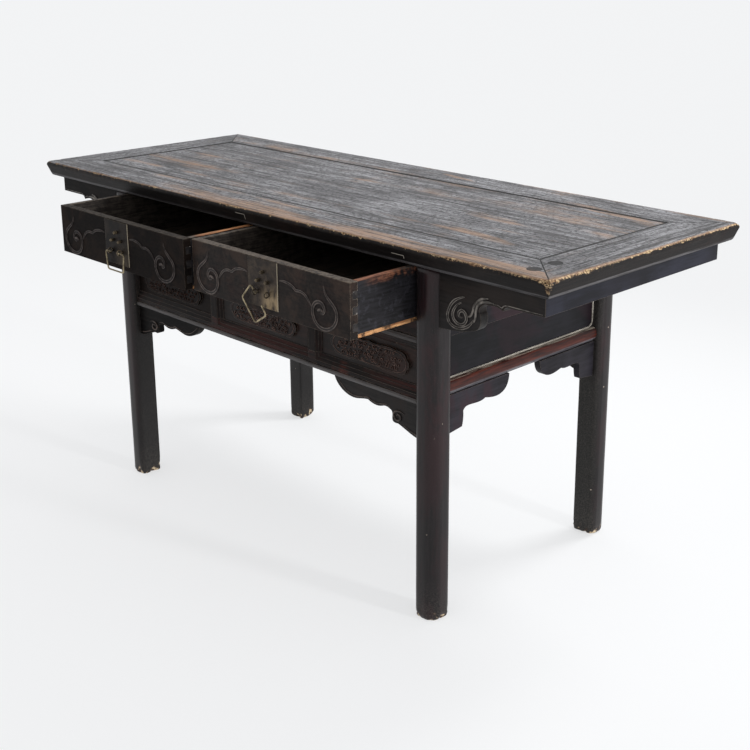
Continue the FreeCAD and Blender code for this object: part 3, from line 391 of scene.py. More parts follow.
def weathered_top(name, grain, shift, tan):
    """The grey weathered top: long streaks, tan where it is rubbed through, dark seams with painted
    shade in their gaps.
    """
    f = Finish(name, Specular_IOR_Level=0.18)
    spot = f.place()
    x, y, z = (spot.part(index) for index in range(3))
    place = spot.shifted(shift)
    fibre = place.stretched(grain)
    hair = f.noise(fibre, 640, 4, 0.65)
    streaks = f.noise(fibre, 215, 5, 0.7, 0.12)
    wide = f.noise(fibre, 62, 4, 0.62, 0.3)
    mottle = f.noise(place, 120, 4, 0.72)
    broad = f.noise(place, 4.5, 4, 0.6, 0.5)
    grey = f.mix(streaks.rise(0.43, 0.57), tone(32, 32, 35), tone(132, 132, 135))
    grey = grey.under(hair.rise(0.46, 0.58) * 0.6, 172, 172, 176)
    grey = grey.under(mottle.rise(0.5, 0.6) * 0.75, 34, 33, 35)
    grey = grey.under(wide.rise(0.5, 0.6) * 0.6, 52, 49, 49)
    grey = grey.under(broad.rise(0.48, 0.62) * 0.35, 52, 50, 52)
    patches = f.noise(fibre, 24, 5, 0.65, 0.4) * 0.6 + f.noise(place, 5.5, 3, 0.6) * 0.4
    front = y.rise(-0.135, -0.22) * x.rise(-0.75, -0.05) * 0.15
    for middle_x, middle_y, half_long, half_wide in RUBBED_PLACES:
        off_x = (x - middle_x) / half_long
        off_y = (y - middle_y + (x - middle_x) * 0.2) / half_wide
        front = front.greater((off_x * off_x + off_y * off_y).rise(1.4, 0) * 0.15)
    rubbed = (patches + front).rise(0.53, 0.66) * streaks.rise(0.36, 0.56) * tan
    colour = f.mix(rubbed, grey, tone(156, 126, 102))
    # Seams, mitres, a short crack at the right, a long fine split at the left and two plugs; the seam
    # and mitre lines are dark joints widened with painted shade from their gaps
    across, along = (y - TOP_MIDDLE).size(), x.size()
    outside = (along - OPENING_X).greater(across - OPENING_Y)
    seam = outside.rise(7 * MM, 4.5 * MM) * outside.rise(-4.5 * MM, -3 * MM)
    mitre = (along - across).line(OPENING_X - OPENING_Y, 1.2 * MM, 1.2 * MM)
    seam = seam.greater(mitre * outside.rise(-1 * MM, 0))
    board = (y - SEAM_Y).line(0, 1 * MM, 1.2 * MM) * outside.rise(0, -1 * MM)
    crack = (y - x * 0.149).line(-0.1297, 1 * MM, 1 * MM)
    crack = crack * x.rise(0.60, 0.66) * outside.rise(0, -1 * MM)
    split = (y + x * 0.02).line(0.045, 0.7 * MM, 1 * MM) * x.rise(-0.1, -0.3) * mottle.rise(0.4, 0.5)
    marks = seam.greater(board * 0.8).greater(crack * 0.9).greater(split * outside.rise(0, -1 * MM))
    for plug_x, plug_y in PLUGS:
        away = ((x - plug_x) * (x - plug_x) + (y - plug_y) * (y - plug_y)).root()
        disc = away.rise(PLUG_RADIUS, PLUG_RADIUS - 1 * MM) * 0.92
        marks = marks.greater(disc).greater(away.line(PLUG_RADIUS, 0.9 * MM, 0.8 * MM))
    colour = colour.under(marks * 0.95, 20, 18, 18)
    # The upper edge, rubbed to bare wood, and the black lacquer below it, with a painted highlight low
    # on the edge
    worn = f.worn()
    crisp = f.noise(place, 190, 4, 0.72) * 0.5 + f.noise(fibre, 330, 4, 0.7) * 0.5
    bare = (worn + crisp * 0.9 - 0.45).rise(0.38, 0.74) * crisp.rise(0.43, 0.54)
    rub = (worn + crisp * 0.5).rise(0.32, 0.66) * 0.75
    dark = black_lacquer(f, place, grain, 0.2, 0.3)[0]
    scuffs = mottle.rise(0.56, 0.62) * z.rise(TOP_Z - 14 * MM, TOP_Z - 5 * MM) * 0.5
    dark = f.mix(0.6, f.mix(scuffs, dark, tone(112, 92, 70)), BLACK)
    for low_x, high_x, low_z, high_z in SCRATCHES:
        within = x.line((low_x + high_x) / 2, (high_x - low_x) / 2, 0.6 * MM)
        upright = z.line((low_z + high_z) / 2, (high_z - low_z) / 2, 0.6 * MM)
        hook = z.line(high_z, 0.6 * MM, 0.6 * MM).greater(x.line(high_x, 0.7 * MM, 0.6 * MM))
        dark = dark.under(within * upright * hook * y.rise(-0.2, -0.21), 186, 180, 170)
    side = z.rise(TOP_Z - 1.6 * MM, TOP_Z - 3.6 * MM)
    # A painted highlight along the lower round of the edge.
    lip_highlight = z.line(TOP_Z - 35 * MM, 2.2 * MM, 1.6 * MM) * streaks.rise(0.3, 0.6)
    dark = dark.under(lip_highlight * 0.6, 104, 102, 104)
    colour = f.mix(side, f.mix(rub, colour, tone(138, 108, 84)), dark)
    golden = f.mix(f.noise(place, 95, 4, 0.7).rise(0.42, 0.6), tone(118, 88, 62), PALE_WOOD)
    colour = f.mix(bare, colour, golden)
    rough = 0.42 + hair * 0.2 + broad * 0.1
    height = hair * 0.4 + streaks * 0.8 + mottle * 0.4 - marks * 1.5
    return f.done(colour, rough, height, 0.5 * MM, 1 * MM)


def drawer_wood(side, hand):
    """A drawer's side: dark outside, dusty inside, a worn upper edge and pins at the front."""
    low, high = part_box(f"{side}_drawer_{hand}_side")
    inward = MM if hand == "left" else -MM
    f = Finish(f"{side} drawer, {hand} side", Specular_IOR_Level=0.18)
    spot = f.place()
    x, y, z = (spot.part(index) for index in range(3))
    place = spot.shifted((4, 1, 2))
    fibre = place.stretched(ALONG_Y)
    fine = f.noise(fibre, 260, 5, 0.65)
    mottle = f.noise(place, 62, 4, 0.68)
    cloud = f.noise(place, 10, 4, 0.6)
    outer = f.mix(fine.rise(0.36, 0.64), tone(14, 13, 15), tone(33, 32, 36))
    outer = outer.under(mottle.rise(0.5, 0.66) * 0.45, 57, 56, 63)
    inner = f.mix((fine * 0.6 + mottle * 0.4).rise(0.4, 0.62), tone(32, 28, 26), tone(66, 60, 55))
    middle = (low.x + high.x) / 2
    colour = f.mix(x.rise(middle - inward, middle + inward), outer, inner)
    edge = z.rise(high.z - 1.6 * MM, high.z - 0.6 * MM)
    colour = colour.under(edge * mottle.rise(0.34, 0.6) * 0.8, 92, 82, 72)
    if hand == "right":
        raw = f.mix(fine.rise(0.36, 0.6), tone(104, 60, 38), tone(176, 124, 82))
        if side == "left":
            worn = edge * y.rise(low.y + 0.02, low.y + 0.05) * cloud.rise(0.2, 0.34)
        else:
            worn = z.rise(high.z - 20 * MM, high.z - 8 * MM) * (
                (cloud * 0.5 + mottle * 0.5).rise(0.42, 0.56))
            worn = (worn * y.rise(low.y + 0.02, low.y + 0.1)).greater(edge * cloud.rise(0.4, 0.5))
            raw = f.mix(fine.rise(0.4, 0.6), tone(78, 44, 32), tone(140, 92, 68))
        colour = f.mix(worn, colour, raw)
    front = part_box(side + "_drawer_bottom")[0].y
    pins = y.rise(front + 0.5 * MM, front - 0.5 * MM)
    colour = f.mix(pins * 0.7, colour, f.mix(mottle.rise(0.4, 0.6), tone(26, 24, 24), tone(56, 52, 50)))
    scuffs = pins * f.noise(place, 70, 3, 0.6).rise(0.66, 0.69)
    colour = colour.under(scuffs, 206, 200, 192)
    return f.done(colour, 0.5 + fine * 0.2, fine + mottle * 0.6, 0.4 * MM, 1.2 * MM)


def drawer_floor(side):
    """A drawer's bottom: dirty on its upper face, raw and orange at its edges."""
    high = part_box(side + "_drawer_bottom")[1].z
    f = Finish(side + " drawer floor", Specular_IOR_Level=0.2)
    spot = f.place()
    fibre = spot.stretched(ALONG_Y)
    fine = f.noise(fibre, 260, 5, 0.65)
    broad = f.noise(fibre, 40, 4, 0.6, 0.3)
    raw = f.mix((fine * 0.5 + broad * 0.5).rise(0.4, 0.6), tone(120, 74, 42), tone(204, 154, 106))
    raw = raw.under(f.noise(spot, 38, 4, 0.66).rise(0.5, 0.6) * 0.85, 42, 30, 24)
    dirty = f.mix((fine * 0.5 + broad * 0.5).rise(0.38, 0.62), tone(44, 38, 34), tone(86, 76, 66))
    colour = f.mix(spot.part(2).rise(high - 1 * MM, high - 0.3 * MM), raw, dirty)
    return f.done(colour, 0.6 + fine * 0.2, fine + broad, 0.5 * MM, 1 * MM)


def raw_wood(name, grain, dark, light):
    """Unfinished wood gone brown with age and dirt."""
    f = Finish(name, Specular_IOR_Level=0.24)
    place = f.place()
    fibre = place.stretched(grain)
    fine = f.noise(fibre, 220, 5, 0.65)
    broad = f.noise(fibre, 22, 4, 0.6, 0.3)
    dirt = f.noise(place, 9, 4, 0.6)
    colour = f.mix((fine * 0.5 + broad * 0.5).rise(0.36, 0.64), dark, light)
    colour = colour.under(dirt.rise(0.5, 0.75) * 0.6, 30, 26, 24)
    return f.done(colour, 0.62 + fine * 0.2, fine + broad, 0.5 * MM, 1 * MM)


def old_brass(name, dark, light, plate=None, gold=0, sheen=1):
    """Brass gone brown, still golden where hands rub it; a plate also has a painted highlight down its
    right edge.
    """
    f = Finish(name, Metallic=0.75, Specular_IOR_Level=0.5 * sheen)
    place = f.place()
    cloud = f.noise(place, 42, 4, 0.68, 0.5)
    fine = f.noise(place, 300, 4, 0.6)
    colour = f.mix(cloud.rise(0.35, 0.68), dark, light)
    if plate:
        low, high = plate
        x, z = place.part(0), place.part(2)
        rubbed = z.rise(low.z + 62 * MM, low.z + 12 * MM) * x.rise(low.x + 34 * MM, low.x + 66 * MM)
        streak = f.noise(place.stretched((1, 1, 0.3)), 90, 3, 0.6)
        colour = colour.under(rubbed * streak.rise(0.32, 0.56) * gold, 158, 138, 108)
        # A painted highlight down the plate's right edge.
        line = x.rise(high.x - 2 * MM, high.x - 1 * MM)
        colour = colour.under(line * 0.85, 176, 164, 144)
    edge = 0.35 if plate else 0.6
    colour = colour.under(f.edges(0.9 * MM) * edge, 170, 158, 134)
    rough = 0.36 + fine * 0.2 + cloud * 0.1
    return f.done(colour, rough, cloud * 0.6 + fine * 0.25, 0.25 * MM, 0.5 * MM)


case_lacquer = lacquer("case lacquer along the table", ALONG_X, 0.3)
upright_lacquer = lacquer("case lacquer upright", ALONG_Z, 0.5, 0.9, (0, 4, 0))
wing_lacquer = smooth_lacquer("wing lacquer", ALONG_X, tone(18, 17, 17), tone(40, 37, 36),
                              tone(38, 31, 28))
# A darker, less shiny copy for the wings and brackets on the left: painted shade.
shaded_left_wing = smooth_lacquer("left wing lacquer", ALONG_X, tone(14, 13, 13), tone(32, 30, 29),
                           tone(30, 25, 23), sheen=0.3)
end_lacquer = smooth_lacquer("end panel lacquer", ALONG_Y, tone(20, 18, 22), tone(40, 38, 44),
                             tone(48, 29, 35))
end_field = smooth_lacquer("end field lacquer", ALONG_Y, tone(9, 9, 12), tone(24, 23, 28),
                           tone(31, 19, 25))
apron_lacquer = smooth_lacquer("end apron lacquer", ALONG_Y, tone(18, 18, 24), tone(36, 37, 47),
                               tone(28, 27, 34), (1, 6, 2))
rail_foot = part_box("front_bottom_rail")[0].z
bottom_rail = banded_lacquer("bottom rail lacquer", rail_foot, rail_foot + 12 * MM, 0.75)
rail_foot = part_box("front_middle_rail")[0].z
middle_rail = banded_lacquer("middle rail lacquer", rail_foot + 21 * MM, rail_foot + 33 * MM, 0.3)
panel_ground = smooth_lacquer("carved panel ground", ALONG_X, tone(22, 16, 15), tone(46, 32, 28),
                              tone(34, 30, 29))
# A darker, less shiny copy for the left panel: painted shade.
shaded_left_ground = smooth_lacquer("left carved panel ground", ALONG_X, tone(13, 10, 9),
                             tone(29, 21, 18), tone(22, 19, 18), sheen=0.4)
legs_lacquer = leg_lacquer()
rail_lacquer = end_rail_lacquer()
top_long = weathered_top("top members along", LONG_X, (0, 1, 0), 0.8)
top_short = weathered_top("top members across", LONG_Y, (1, 0, 0), 0.35)
top_boards = weathered_top("top boards", LONG_X, (5, 3, 0), 0.75)
smoked_wood = raw_wood("drawer inside", ALONG_X, tone(30, 26, 24), tone(56, 48, 42))
drawer_back_wood = raw_wood("drawer back", ALONG_X, tone(34, 29, 27), tone(70, 61, 54))

# How a node's name starts and ends, and its finish; the first row that fits is taken
worn_by = [
    ("top_board", "", top_boards), ("carved_panel", "left", shaded_left_ground),
    ("carved_panel", "", panel_ground), ("front_bottom_rail", "", bottom_rail),
    ("front_middle_rail", "", middle_rail), ("", "_stile", upright_lacquer),
    ("leg", "", legs_lacquer), ("wing", "left", shaded_left_wing), ("wing", "", wing_lacquer),
    ("spandrel", "left", shaded_left_wing), ("spandrel", "", wing_lacquer),
    ("end_apron", "", apron_lacquer), ("", "end_rail", rail_lacquer), ("", "end_panel", end_field),
    ("", "end_board", end_lacquer), ("", "end_spandrels", end_lacquer),
    ("", "runner", smoked_wood), ("", "battens", smoked_wood), ("compartment", "", smoked_wood),
    ("", "drawer_back", drawer_back_wood),
    ("", "_studs", old_brass("stud brass", tone(58, 50, 42), tone(120, 106, 84))),
    ("", "_bail", old_brass("bail brass", tone(96, 86, 68), tone(176, 162, 132)))]
# The left row's darker plate tones and lower sheen are painted shade, as the light falls off to the
# left; the gold share is rubbed brass.
for side, dark, light, gold, sheen in (
        ("left", tone(19, 16, 15), tone(41, 35, 31), 0.1, 0.25),
        ("right", tone(37, 31, 28), tone(68, 58, 49), 0.8, 1)):
    drawer = side + "_drawer_"
    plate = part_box(drawer + "plate")
    worn_by += [
        (drawer, "plate", old_brass(side + " plate brass", dark, light, plate, gold, sheen)),
        (drawer, "front", drawer_lacquer(side, sheen)), (drawer, "bottom", drawer_floor(side)),
        (drawer, "left_side", drawer_wood(side, "left")),
        (drawer, "right_side", drawer_wood(side, "right"))]


def finish_of(node):
    """The finish that suits a CAD node; the case's own lacquer where no row fits."""
    for start, end, finish in worn_by:
        if node.startswith(start) and node.endswith(end):
            return finish
    return case_lacquer


def wear(node, finish):
    """The finish goes on every slot of a CAD node."""
    thing = nodes[node]
    if not thing.material_slots:
        thing.data.materials.append(finish)
    for spot in thing.material_slots:
        spot.material = finish


for node in nodes:
    wear(node, finish_of(node))


# Making pieces

def placed(name, data):
    """A thing in the scene, from its mesh, curve, lamp or camera."""
    thing = bpy.data.objects.new(name, data)
    bpy.context.scene.collection.objects.link(thing)
    return thing


def make(name, points, faces, finish, body, stands_for=(), worn=None):
    """A piece from its points and faces, riding on a body; worn says how rubbed each point is."""
    mesh = bpy.data.meshes.new(name)
    mesh.from_pydata(points, [], faces)
    mesh.validate()
    bm = bmesh.new()
    bm.from_mesh(mesh)
    bmesh.ops.recalc_face_normals(bm, faces=bm.faces)
    bm.to_mesh(mesh)
    bm.free()
    mesh.polygons.foreach_set("use_smooth", [True] * len(mesh.polygons))
    mesh.materials.append(finish)
    if worn is not None:
        mark = mesh.attributes.new("worn", "FLOAT", "POINT")
        mark.data.foreach_set("value", worn)
    thing = placed(name, mesh)
    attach(thing, body)
    if stands_for:
        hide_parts(*stands_for)
    return thing


def sharpen(thing):
    """Keeps a piece's sharp corners crisp."""
    bm = bmesh.new()
    bm.from_mesh(thing.data)
    for edge in bm.edges:
        edge.smooth = len(edge.link_faces) < 2 or edge.calc_face_angle() < math.radians(40)
    bm.to_mesh(thing.data)
    bm.free()


def skin(rings, size, first=0):
    """Faces of a piece drawn as rings of equally many points, closed at both ends."""
    faces = []
    for ring in range(rings - 1):
        for spot in range(size):
            a = first + ring * size + spot
            b = first + ring * size + (spot + 1) % size
            faces.append((a, b, b + size, a + size))
    for ring in (0, rings - 1):
        faces.append(tuple(first + ring * size + spot for spot in range(size)))
    return faces


def smooth_path(points, steps):
    """More points along a curve that passes through all the given ones."""
    points = [Vector(p) for p in points]
    ends = [points[0] * 2 - points[1]] + points + [points[-1] * 2 - points[-2]]
    path = []
    for before, start, end, after in zip(ends, ends[1:], ends[2:], ends[3:]):
        for step in range(steps):
            t = step / steps
            path.append(0.5 * (start * 2 + (end - before) * t
                               + (before * 2 - start * 5 + end * 4 - after) * t * t
                               + (start * 3 - before - end * 3 + after) * t * t * t))
    return path + [points[-1]]


# Across a carved line: share of the half width, share of the rise; the ends are sunk in the wood
SINGLE_RIDGE = ((-1, -0.4), (-0.75, 0.45), (-0.35, 0.9), (0, 1), (0.35, 0.9), (0.75, 0.45),
                (1, -0.4))
DOUBLE_RIDGE = ((-1, -0.4), (-0.86, 0.5), (-0.6, 1), (-0.34, 0.75), (0, 0.15), (0.34, 0.75),
                (0.6, 1), (0.86, 0.5), (1, -0.4))


class Carving:
    """Raised lines on a flat face, gathered into one piece."""

    def __init__(self, lay):
        self.lay = lay
        self.points = []
        self.faces = []
        self.worn = []

    def stroke(self, points, width, rise, ridge=SINGLE_RIDGE, steps=6, thin_ends=0.35):
        """One raised line through the points, width across and rise high."""
        path = smooth_path(points, steps)
        count = len(path)
        first = len(self.points)
        for index, centre in enumerate(path):
            ahead = path[min(index + 1, count - 1)] - path[max(index - 1, 0)]
            across = Vector((-ahead.y, ahead.x)).normalized()
            nearest_end = min(index, count - 1 - index) / max(1, count * 0.16)
            share = thin_ends + (1 - thin_ends) * min(1, nearest_end)
            for side, height in ridge:
                spot = centre + across * side * width / 2 * share
                self.points.append(self.lay(spot.x, spot.y, height * rise * share))
                self.worn.append(max(0, height))
        self.faces += skin(count, len(ridge), first)

    def strokes(self, lines, width, rise, ridge=SINGLE_RIDGE, steps=6):
        """Lines given in millimetres, as are their width and rise."""
        for line in lines:
            self.stroke([(x * MM, z * MM) for x, z in line], width * MM, rise * MM, ridge, steps)

    def done(self, name, finish, body):
        return make(name, self.points, self.faces, finish, body, worn=self.worn)


# The mitred top frame, its upper edge rubbed and chipped

# Round a member: in from the outer edge, down from the top in millimetres, share of the wear
MEMBER = (
    (115, 1.4, 0), (113, 0.4, 0), (111.4, 0, 0), (80, 0, 0), (40, 0, 0), (24, 0, 0), (14, 0, 0.06),
    (9, 0, 0.2), (6, 0.05, 0.45), (4, 0.2, 0.7), (2.4, 0.7, 0.9), (1.2, 1.5, 1), (0.5, 2.6, 0.9),
    (0.15, 4, 0.7), (0, 6, 0.42), (0, 8.5, 0.2), (0.2, 10.6, 0.1), (0.9, 12.4, 0.02), (3, 18.6, 0),
    (5.6, 26.2, 0), (8, 33.2, 0), (9.4, 36.4, 0), (11.4, 38.8, 0), (14.4, 40, 0), (60, 40, 0),
    (115, 40, 0), (115, 20, 0))
CHIPS = (  # x, y, radius and depth of the larger chips, in metres
    (0.882, -0.240, 0.020, 0.0065), (0.868, -0.240, 0.012, 0.003), (0.882, -0.222, 0.012, 0.003),
    (0.882, -0.124, 0.008, 0.006), (0.700, -0.240, 0.016, 0.003), (0.640, -0.240, 0.012, 0.0025),
    (0.085, -0.240, 0.005, 0.004), (-0.072, -0.240, 0.004, 0.0035), (0.33, -0.240, 0.005, 0.004),
    (0.882, 0.08, 0.012, 0.002), (0.882, 0.20, 0.008, 0.002), (0.882, 0.43, 0.012, 0.003),
    (-0.882, -0.240, 0.010, 0.002))
TOP_STEP = 4 * MM
# The corner nearest the photograph's camera, the most knocked and handled, in metres
CORNER_X = 0.882
CORNER_Y = -0.24
# The edge beyond these, in metres, is the right one or the front one
RIGHT_FROM = 0.85
FRONT_FROM = -0.2


def knocked(x, y):
    """How much wood is gone from the upper edge near a place, in metres."""
    spot = Vector((x, y, 0))
    front = 1 if y < FRONT_FROM or x > RIGHT_FROM else 0.45
    soft = 0.0011 * (noise.noise(spot * 9) + 0.8)
    nibbles = 0.0030 * max(0, noise.noise(spot * 70) - 0.12)
    nibbles += 0.0036 * max(0, noise.noise(spot * 190 + Vector((5, 2, 9))) - 0.18)
    gone = (soft + nibbles) * front
    for chip_x, chip_y, radius, depth in CHIPS:
        away = math.hypot(x - chip_x, y - chip_y)
        if away < radius:
            ragged = 0.7 + 0.6 * noise.noise(spot * 300)
            gone += depth * ragged * (1 - (away / radius) ** 2)
    return max(0, gone)


def handled(x, y):
    """How bare the upper edge has been rubbed near a place, before any chips."""
    corner = max(0, 1 - math.hypot(x - CORNER_X, y - CORNER_Y) / 0.05)
    if x > RIGHT_FROM:
        return 0.3 + 0.5 * corner
    if y < FRONT_FROM:
        return 0.24 * min(1, max(0, (x + 0.2) / 0.9)) + 0.5 * corner
    return 0.02


def top_member(node, run, reach, turn, finish):
    """A member of the top frame, drawn along X with its outer edge towards -Y, then turned."""
    cos, sin = round(math.cos(turn)), round(math.sin(turn))
    stations = round(run / TOP_STEP)
    seam = 0.3 * MM
    points, worn = [], []
    for station in range(stations + 1):
        t = station / stations * 2 - 1
        for inward, down, share in MEMBER:
            depth = inward * MM
            x, y = t * (run / 2 - depth - seam), depth - reach
            place_x, place_y = cos * x - sin * y, sin * x + cos * y + TOP_MIDDLE
            if math.hypot(place_x - CORNER_X, place_y - CORNER_Y) < 12 * MM and down < 30:
                share = max(share, 0.22)
            gone = knocked(place_x, place_y) * share * 0.8 if share else 0
            depth = depth + gone
            x, y = t * (run / 2 - depth - seam), depth - reach
            points.append((cos * x - sin * y, sin * x + cos * y + TOP_MIDDLE,
                           TOP_Z - down * MM - gone))
            spread = 0.5 if place_x > 0.6 and place_y < 0 else 1
            worn.append(share ** spread * (gone / MM * 0.42 + handled(place_x, place_y)))
    faces = skin(stations + 1, len(MEMBER))
    sharpen(make("worn_" + node, points, faces, finish, "table", (node,), worn))


front_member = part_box("top_frame_front")
top_length = front_member[1].x - front_member[0].x
top_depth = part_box("top_frame_back")[1].y - front_member[0].y
for quarter, (node, run, reach, finish) in enumerate((
        ("top_frame_front", top_length, top_depth / 2, top_long),
        ("top_frame_right", top_depth, top_length / 2, top_short),
        ("top_frame_back", top_length, top_depth / 2, top_long),
        ("top_frame_left", top_depth, top_length / 2, top_short))):
    top_member(node, run, reach, quarter * math.pi / 2, finish)


# Carving on the drawer fronts, in millimetres right of the plate's middle and above the edge

SCROLL = ((190, 97), (192, 88), (198, 78), (210, 68), (222, 58), (228, 46), (227, 32), (219, 19),
          (206, 10), (192, 6.5), (178, 8), (166, 15), (158, 27), (156, 41), (161, 53), (172, 60),
          (184, 59), (191, 50), (190, 41), (183, 37), (178, 41))
WAVE = ((52, 80), (66, 82), (80, 81), (92, 78), (101, 73), (106, 70), (116, 71), (128, 69),
        (138, 63), (146, 54), (153, 45))
BUD = ((170, 41), (176, 44), (182, 45), (187, 41))


def drawer_carving(side):
    """A scroll and a wave on each side of a drawer's plate."""
    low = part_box(side + "_drawer_front")[0]
    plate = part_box(side + "_drawer_plate")
    middle = (plate[0].x + plate[1].x) / 2
    for hand, where in ((-1, "left"), (1, "right")):
        carving = Carving(lambda x, z, lift, hand=hand: (
            middle + hand * x, low.y - lift, low.z + z))
        carving.strokes([SCROLL], 10, 2.2, DOUBLE_RIDGE)
        carving.strokes([WAVE], 7.5, 1.8, DOUBLE_RIDGE)
        carving.strokes([BUD], 9, 3.2, steps=4)
        finish = shaded_left_scroll if side == "left" else scroll_lacquer
        carving.done(f"{side}_drawer_scroll_{where}", finish, side + "_drawer")


# Carving on the three panels: curled clouds and stems inside a rounded border

def curl(x, z, radius, turns, start, hand):
    """A spiral from its outside to its middle."""
    path = []
    count = round(turns * 9)
    for index in range(count + 1):
        t = index / count
        angle = start + hand * t * turns * 2 * math.pi
        reach = radius * (1 - 0.82 * t)
        path.append((x + math.cos(angle) * reach, z + math.sin(angle) * reach))
    return path


# A quarter of the border round a panel's relief, in shares of the half length and half height
BORDER = ((0, 0.82), (0.3, 0.8), (0.55, 0.84), (0.72, 0.78), (0.84, 0.62), (0.9, 0.4), (0.93, 0.16),
          (0.935, 0))
CURLS_ALONG = 17
CURL_ROWS = 4


def panel_carving(where):
    """A relief of small curls inside a border."""
    chance = random.Random("panel " + where)
    node = "carved_panel_" + where
    low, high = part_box(node)
    middle_x, middle_z = (low.x + high.x) / 2, (low.z + high.z) / 2
    half_x, half_z = (high.x - low.x) / 2 - 42 * MM, (high.z - low.z) / 2 - 17 * MM
    carving = Carving(lambda x, z, lift: (x, low.y - lift, z))
    right = list(BORDER) + [(x, -z) for x, z in reversed(BORDER[:-1])]
    left = [(-x, z) for x, z in reversed(right[1:-1])]
    border = [(middle_x + x * half_x, middle_z + z * half_z)
              for x, z in right + left + [BORDER[0]]]
    carving.stroke(border, 2 * MM, 1 * MM, steps=4, thin_ends=1)
    for row in range(CURL_ROWS):
        for column in range(CURLS_ALONG):
            shift = 0.5 if row % 2 else 0
            along = (column + shift + 0.25 + chance.uniform(-0.22, 0.22)) / CURLS_ALONG * 2 - 1
            up = (row + 0.5 + chance.uniform(-0.2, 0.2)) / CURL_ROWS * 2 - 1
            if abs(along) > 0.95 or abs(along) > 0.86 and abs(up) > 0.4:
                continue
            x, z = middle_x + along * half_x * 0.88, middle_z + up * half_z * 0.74
            radius = chance.uniform(3.8, 5.8) * MM
            start = chance.uniform(0, 2 * math.pi)
            hand = chance.choice((-1, 1))
            path = curl(x, z, radius, chance.uniform(0.8, 1.35), start, hand)
            tail_angle = start - hand * chance.uniform(0.5, 1.1)
            reach = radius * chance.uniform(1.8, 2.8)
            tail_rise = z - middle_z + math.sin(tail_angle) * reach * 0.7
            tail_rise = min(max(tail_rise, -half_z * 0.72), half_z * 0.72)
            tail = (x + math.cos(tail_angle) * reach, middle_z + tail_rise)
            width = chance.uniform(1.9, 2.9) * MM
            rise = chance.uniform(1.4, 2.6) * MM
            carving.stroke([tail] + path, width, rise, steps=2, thin_ends=0.2)
    carving.done(node + "_relief", shaded_left_relief if where == "left" else panel_lacquer, "table")


# Carving on the front wings, in millimetres out from the leg and down from the top

WING_CURLS = (
    ((66, 44), (50, 50), (36, 60), (26, 75), (22, 91), (27, 104), (40, 111), (56, 111), (71, 106),
     (83, 97), (91, 86)),
    ((58, 57), (46, 65), (37, 79), (37, 92), (46, 101), (58, 103), (68, 98), (73, 88), (69, 77),
     (60, 73), (52, 79), (54, 87), (61, 88)))
WING_STEMS = (
    ((91, 92), (96, 80), (97, 66), (101, 54), (112, 45), (126, 42), (142, 42)),
    ((74, 84), (83, 79), (89, 69), (92, 57), (101, 46), (113, 38), (128, 35)))
WING_EDGE = ((140, 44), (153, 43), (162, 46), (168, 41), (178, 39), (190, 39), (226, 39), (262, 39))


def wing_carving(side, sign):
    """Curls, stems and an edge line on a front wing."""
    low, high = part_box("wing_front_" + side)
    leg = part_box("leg_front_" + side)
    start = leg[1].x if sign > 0 else leg[0].x
    carving = Carving(lambda x, z, lift: (start + sign * x, low.y - lift, high.z - z))
    carving.strokes(WING_CURLS, 8.5, 3.2, DOUBLE_RIDGE)
    carving.strokes(WING_STEMS, 8.5, 3.2)
    carving.strokes([WING_EDGE], 3.2, 1.2, steps=4)
    carving.done("wing_scroll_" + side, wing_scroll, "table")


# Carving on the front brackets, in millimetres out from the leg and down from the rail

BRACKET_CURL = ((48, 34), (61, 31), (74, 34), (80, 42), (76, 50), (67, 53), (59, 48), (60, 41),
                (67, 39), (71, 44))
BRACKET_TIP = ((3, 73), (20, 70), (38, 64), (52, 59))
BRACKET_EDGE = ((89, 29), (104, 26), (118, 29), (134, 31), (150, 29), (161, 25), (176, 28),
                (200, 32), (224, 29), (242, 19), (257, 7))


def bracket_carving(side, sign):
    """A curl and edge lines on a front bracket."""
    low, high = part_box("spandrel_front_" + side)
    start = high.x if sign > 0 else low.x
    carving = Carving(lambda x, z, lift: (start - sign * x, low.y - lift, high.z - z))
    carving.strokes([BRACKET_CURL], 6.4, 3.4)
    carving.strokes([BRACKET_TIP, BRACKET_EDGE], 3.4, 1.4, steps=4)
    carving.done("bracket_carving_" + side, scroll_lacquer, "table")


# Beads: thin round mouldings half sunk in the wood

def bead(name, paths, radius, finish, closed=False):
    """One or more lines of round moulding on the table's body."""
    data = bpy.data.curves.new(name, "CURVE")
    data.dimensions = "3D"
    data.bevel_depth = radius
    data.bevel_resolution = 2
    data.use_fill_caps = not closed
    for path in paths:
        run = data.splines.new("POLY")
        run.points.add(len(path) - 1)
        for point, place in zip(run.points, path):
            point.co = (*place, 1)
        run.use_cyclic_u = closed
    data.materials.append(finish)
    thing = placed(name, data)
    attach(thing, "table")


def panel_beads(where, left_flare, right_flare):
    """Three fine lines round a carved panel, on the bevel of the rails and stiles."""
    low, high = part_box("carved_panel_" + where)
    panel_face = low.y + 6 * MM
    rail_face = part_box("front_bottom_rail")[0].y
    rings = []
    for share in (0.08, 0.5, 0.9):
        y = panel_face + (rail_face - panel_face) * share
        left, right = low.x + 8 * MM - left_flare * share, high.x - 8 * MM + right_flare * share
        bottom, top = low.z + 8 * MM - 21 * MM * share, high.z - 8 * MM + 21 * MM * share
        rings.append([(left, y, bottom), (right, y, bottom), (right, y, top), (left, y, top)])
    bead("panel_beads_" + where, rings, 1.1 * MM, rubbed_bead, closed=True)


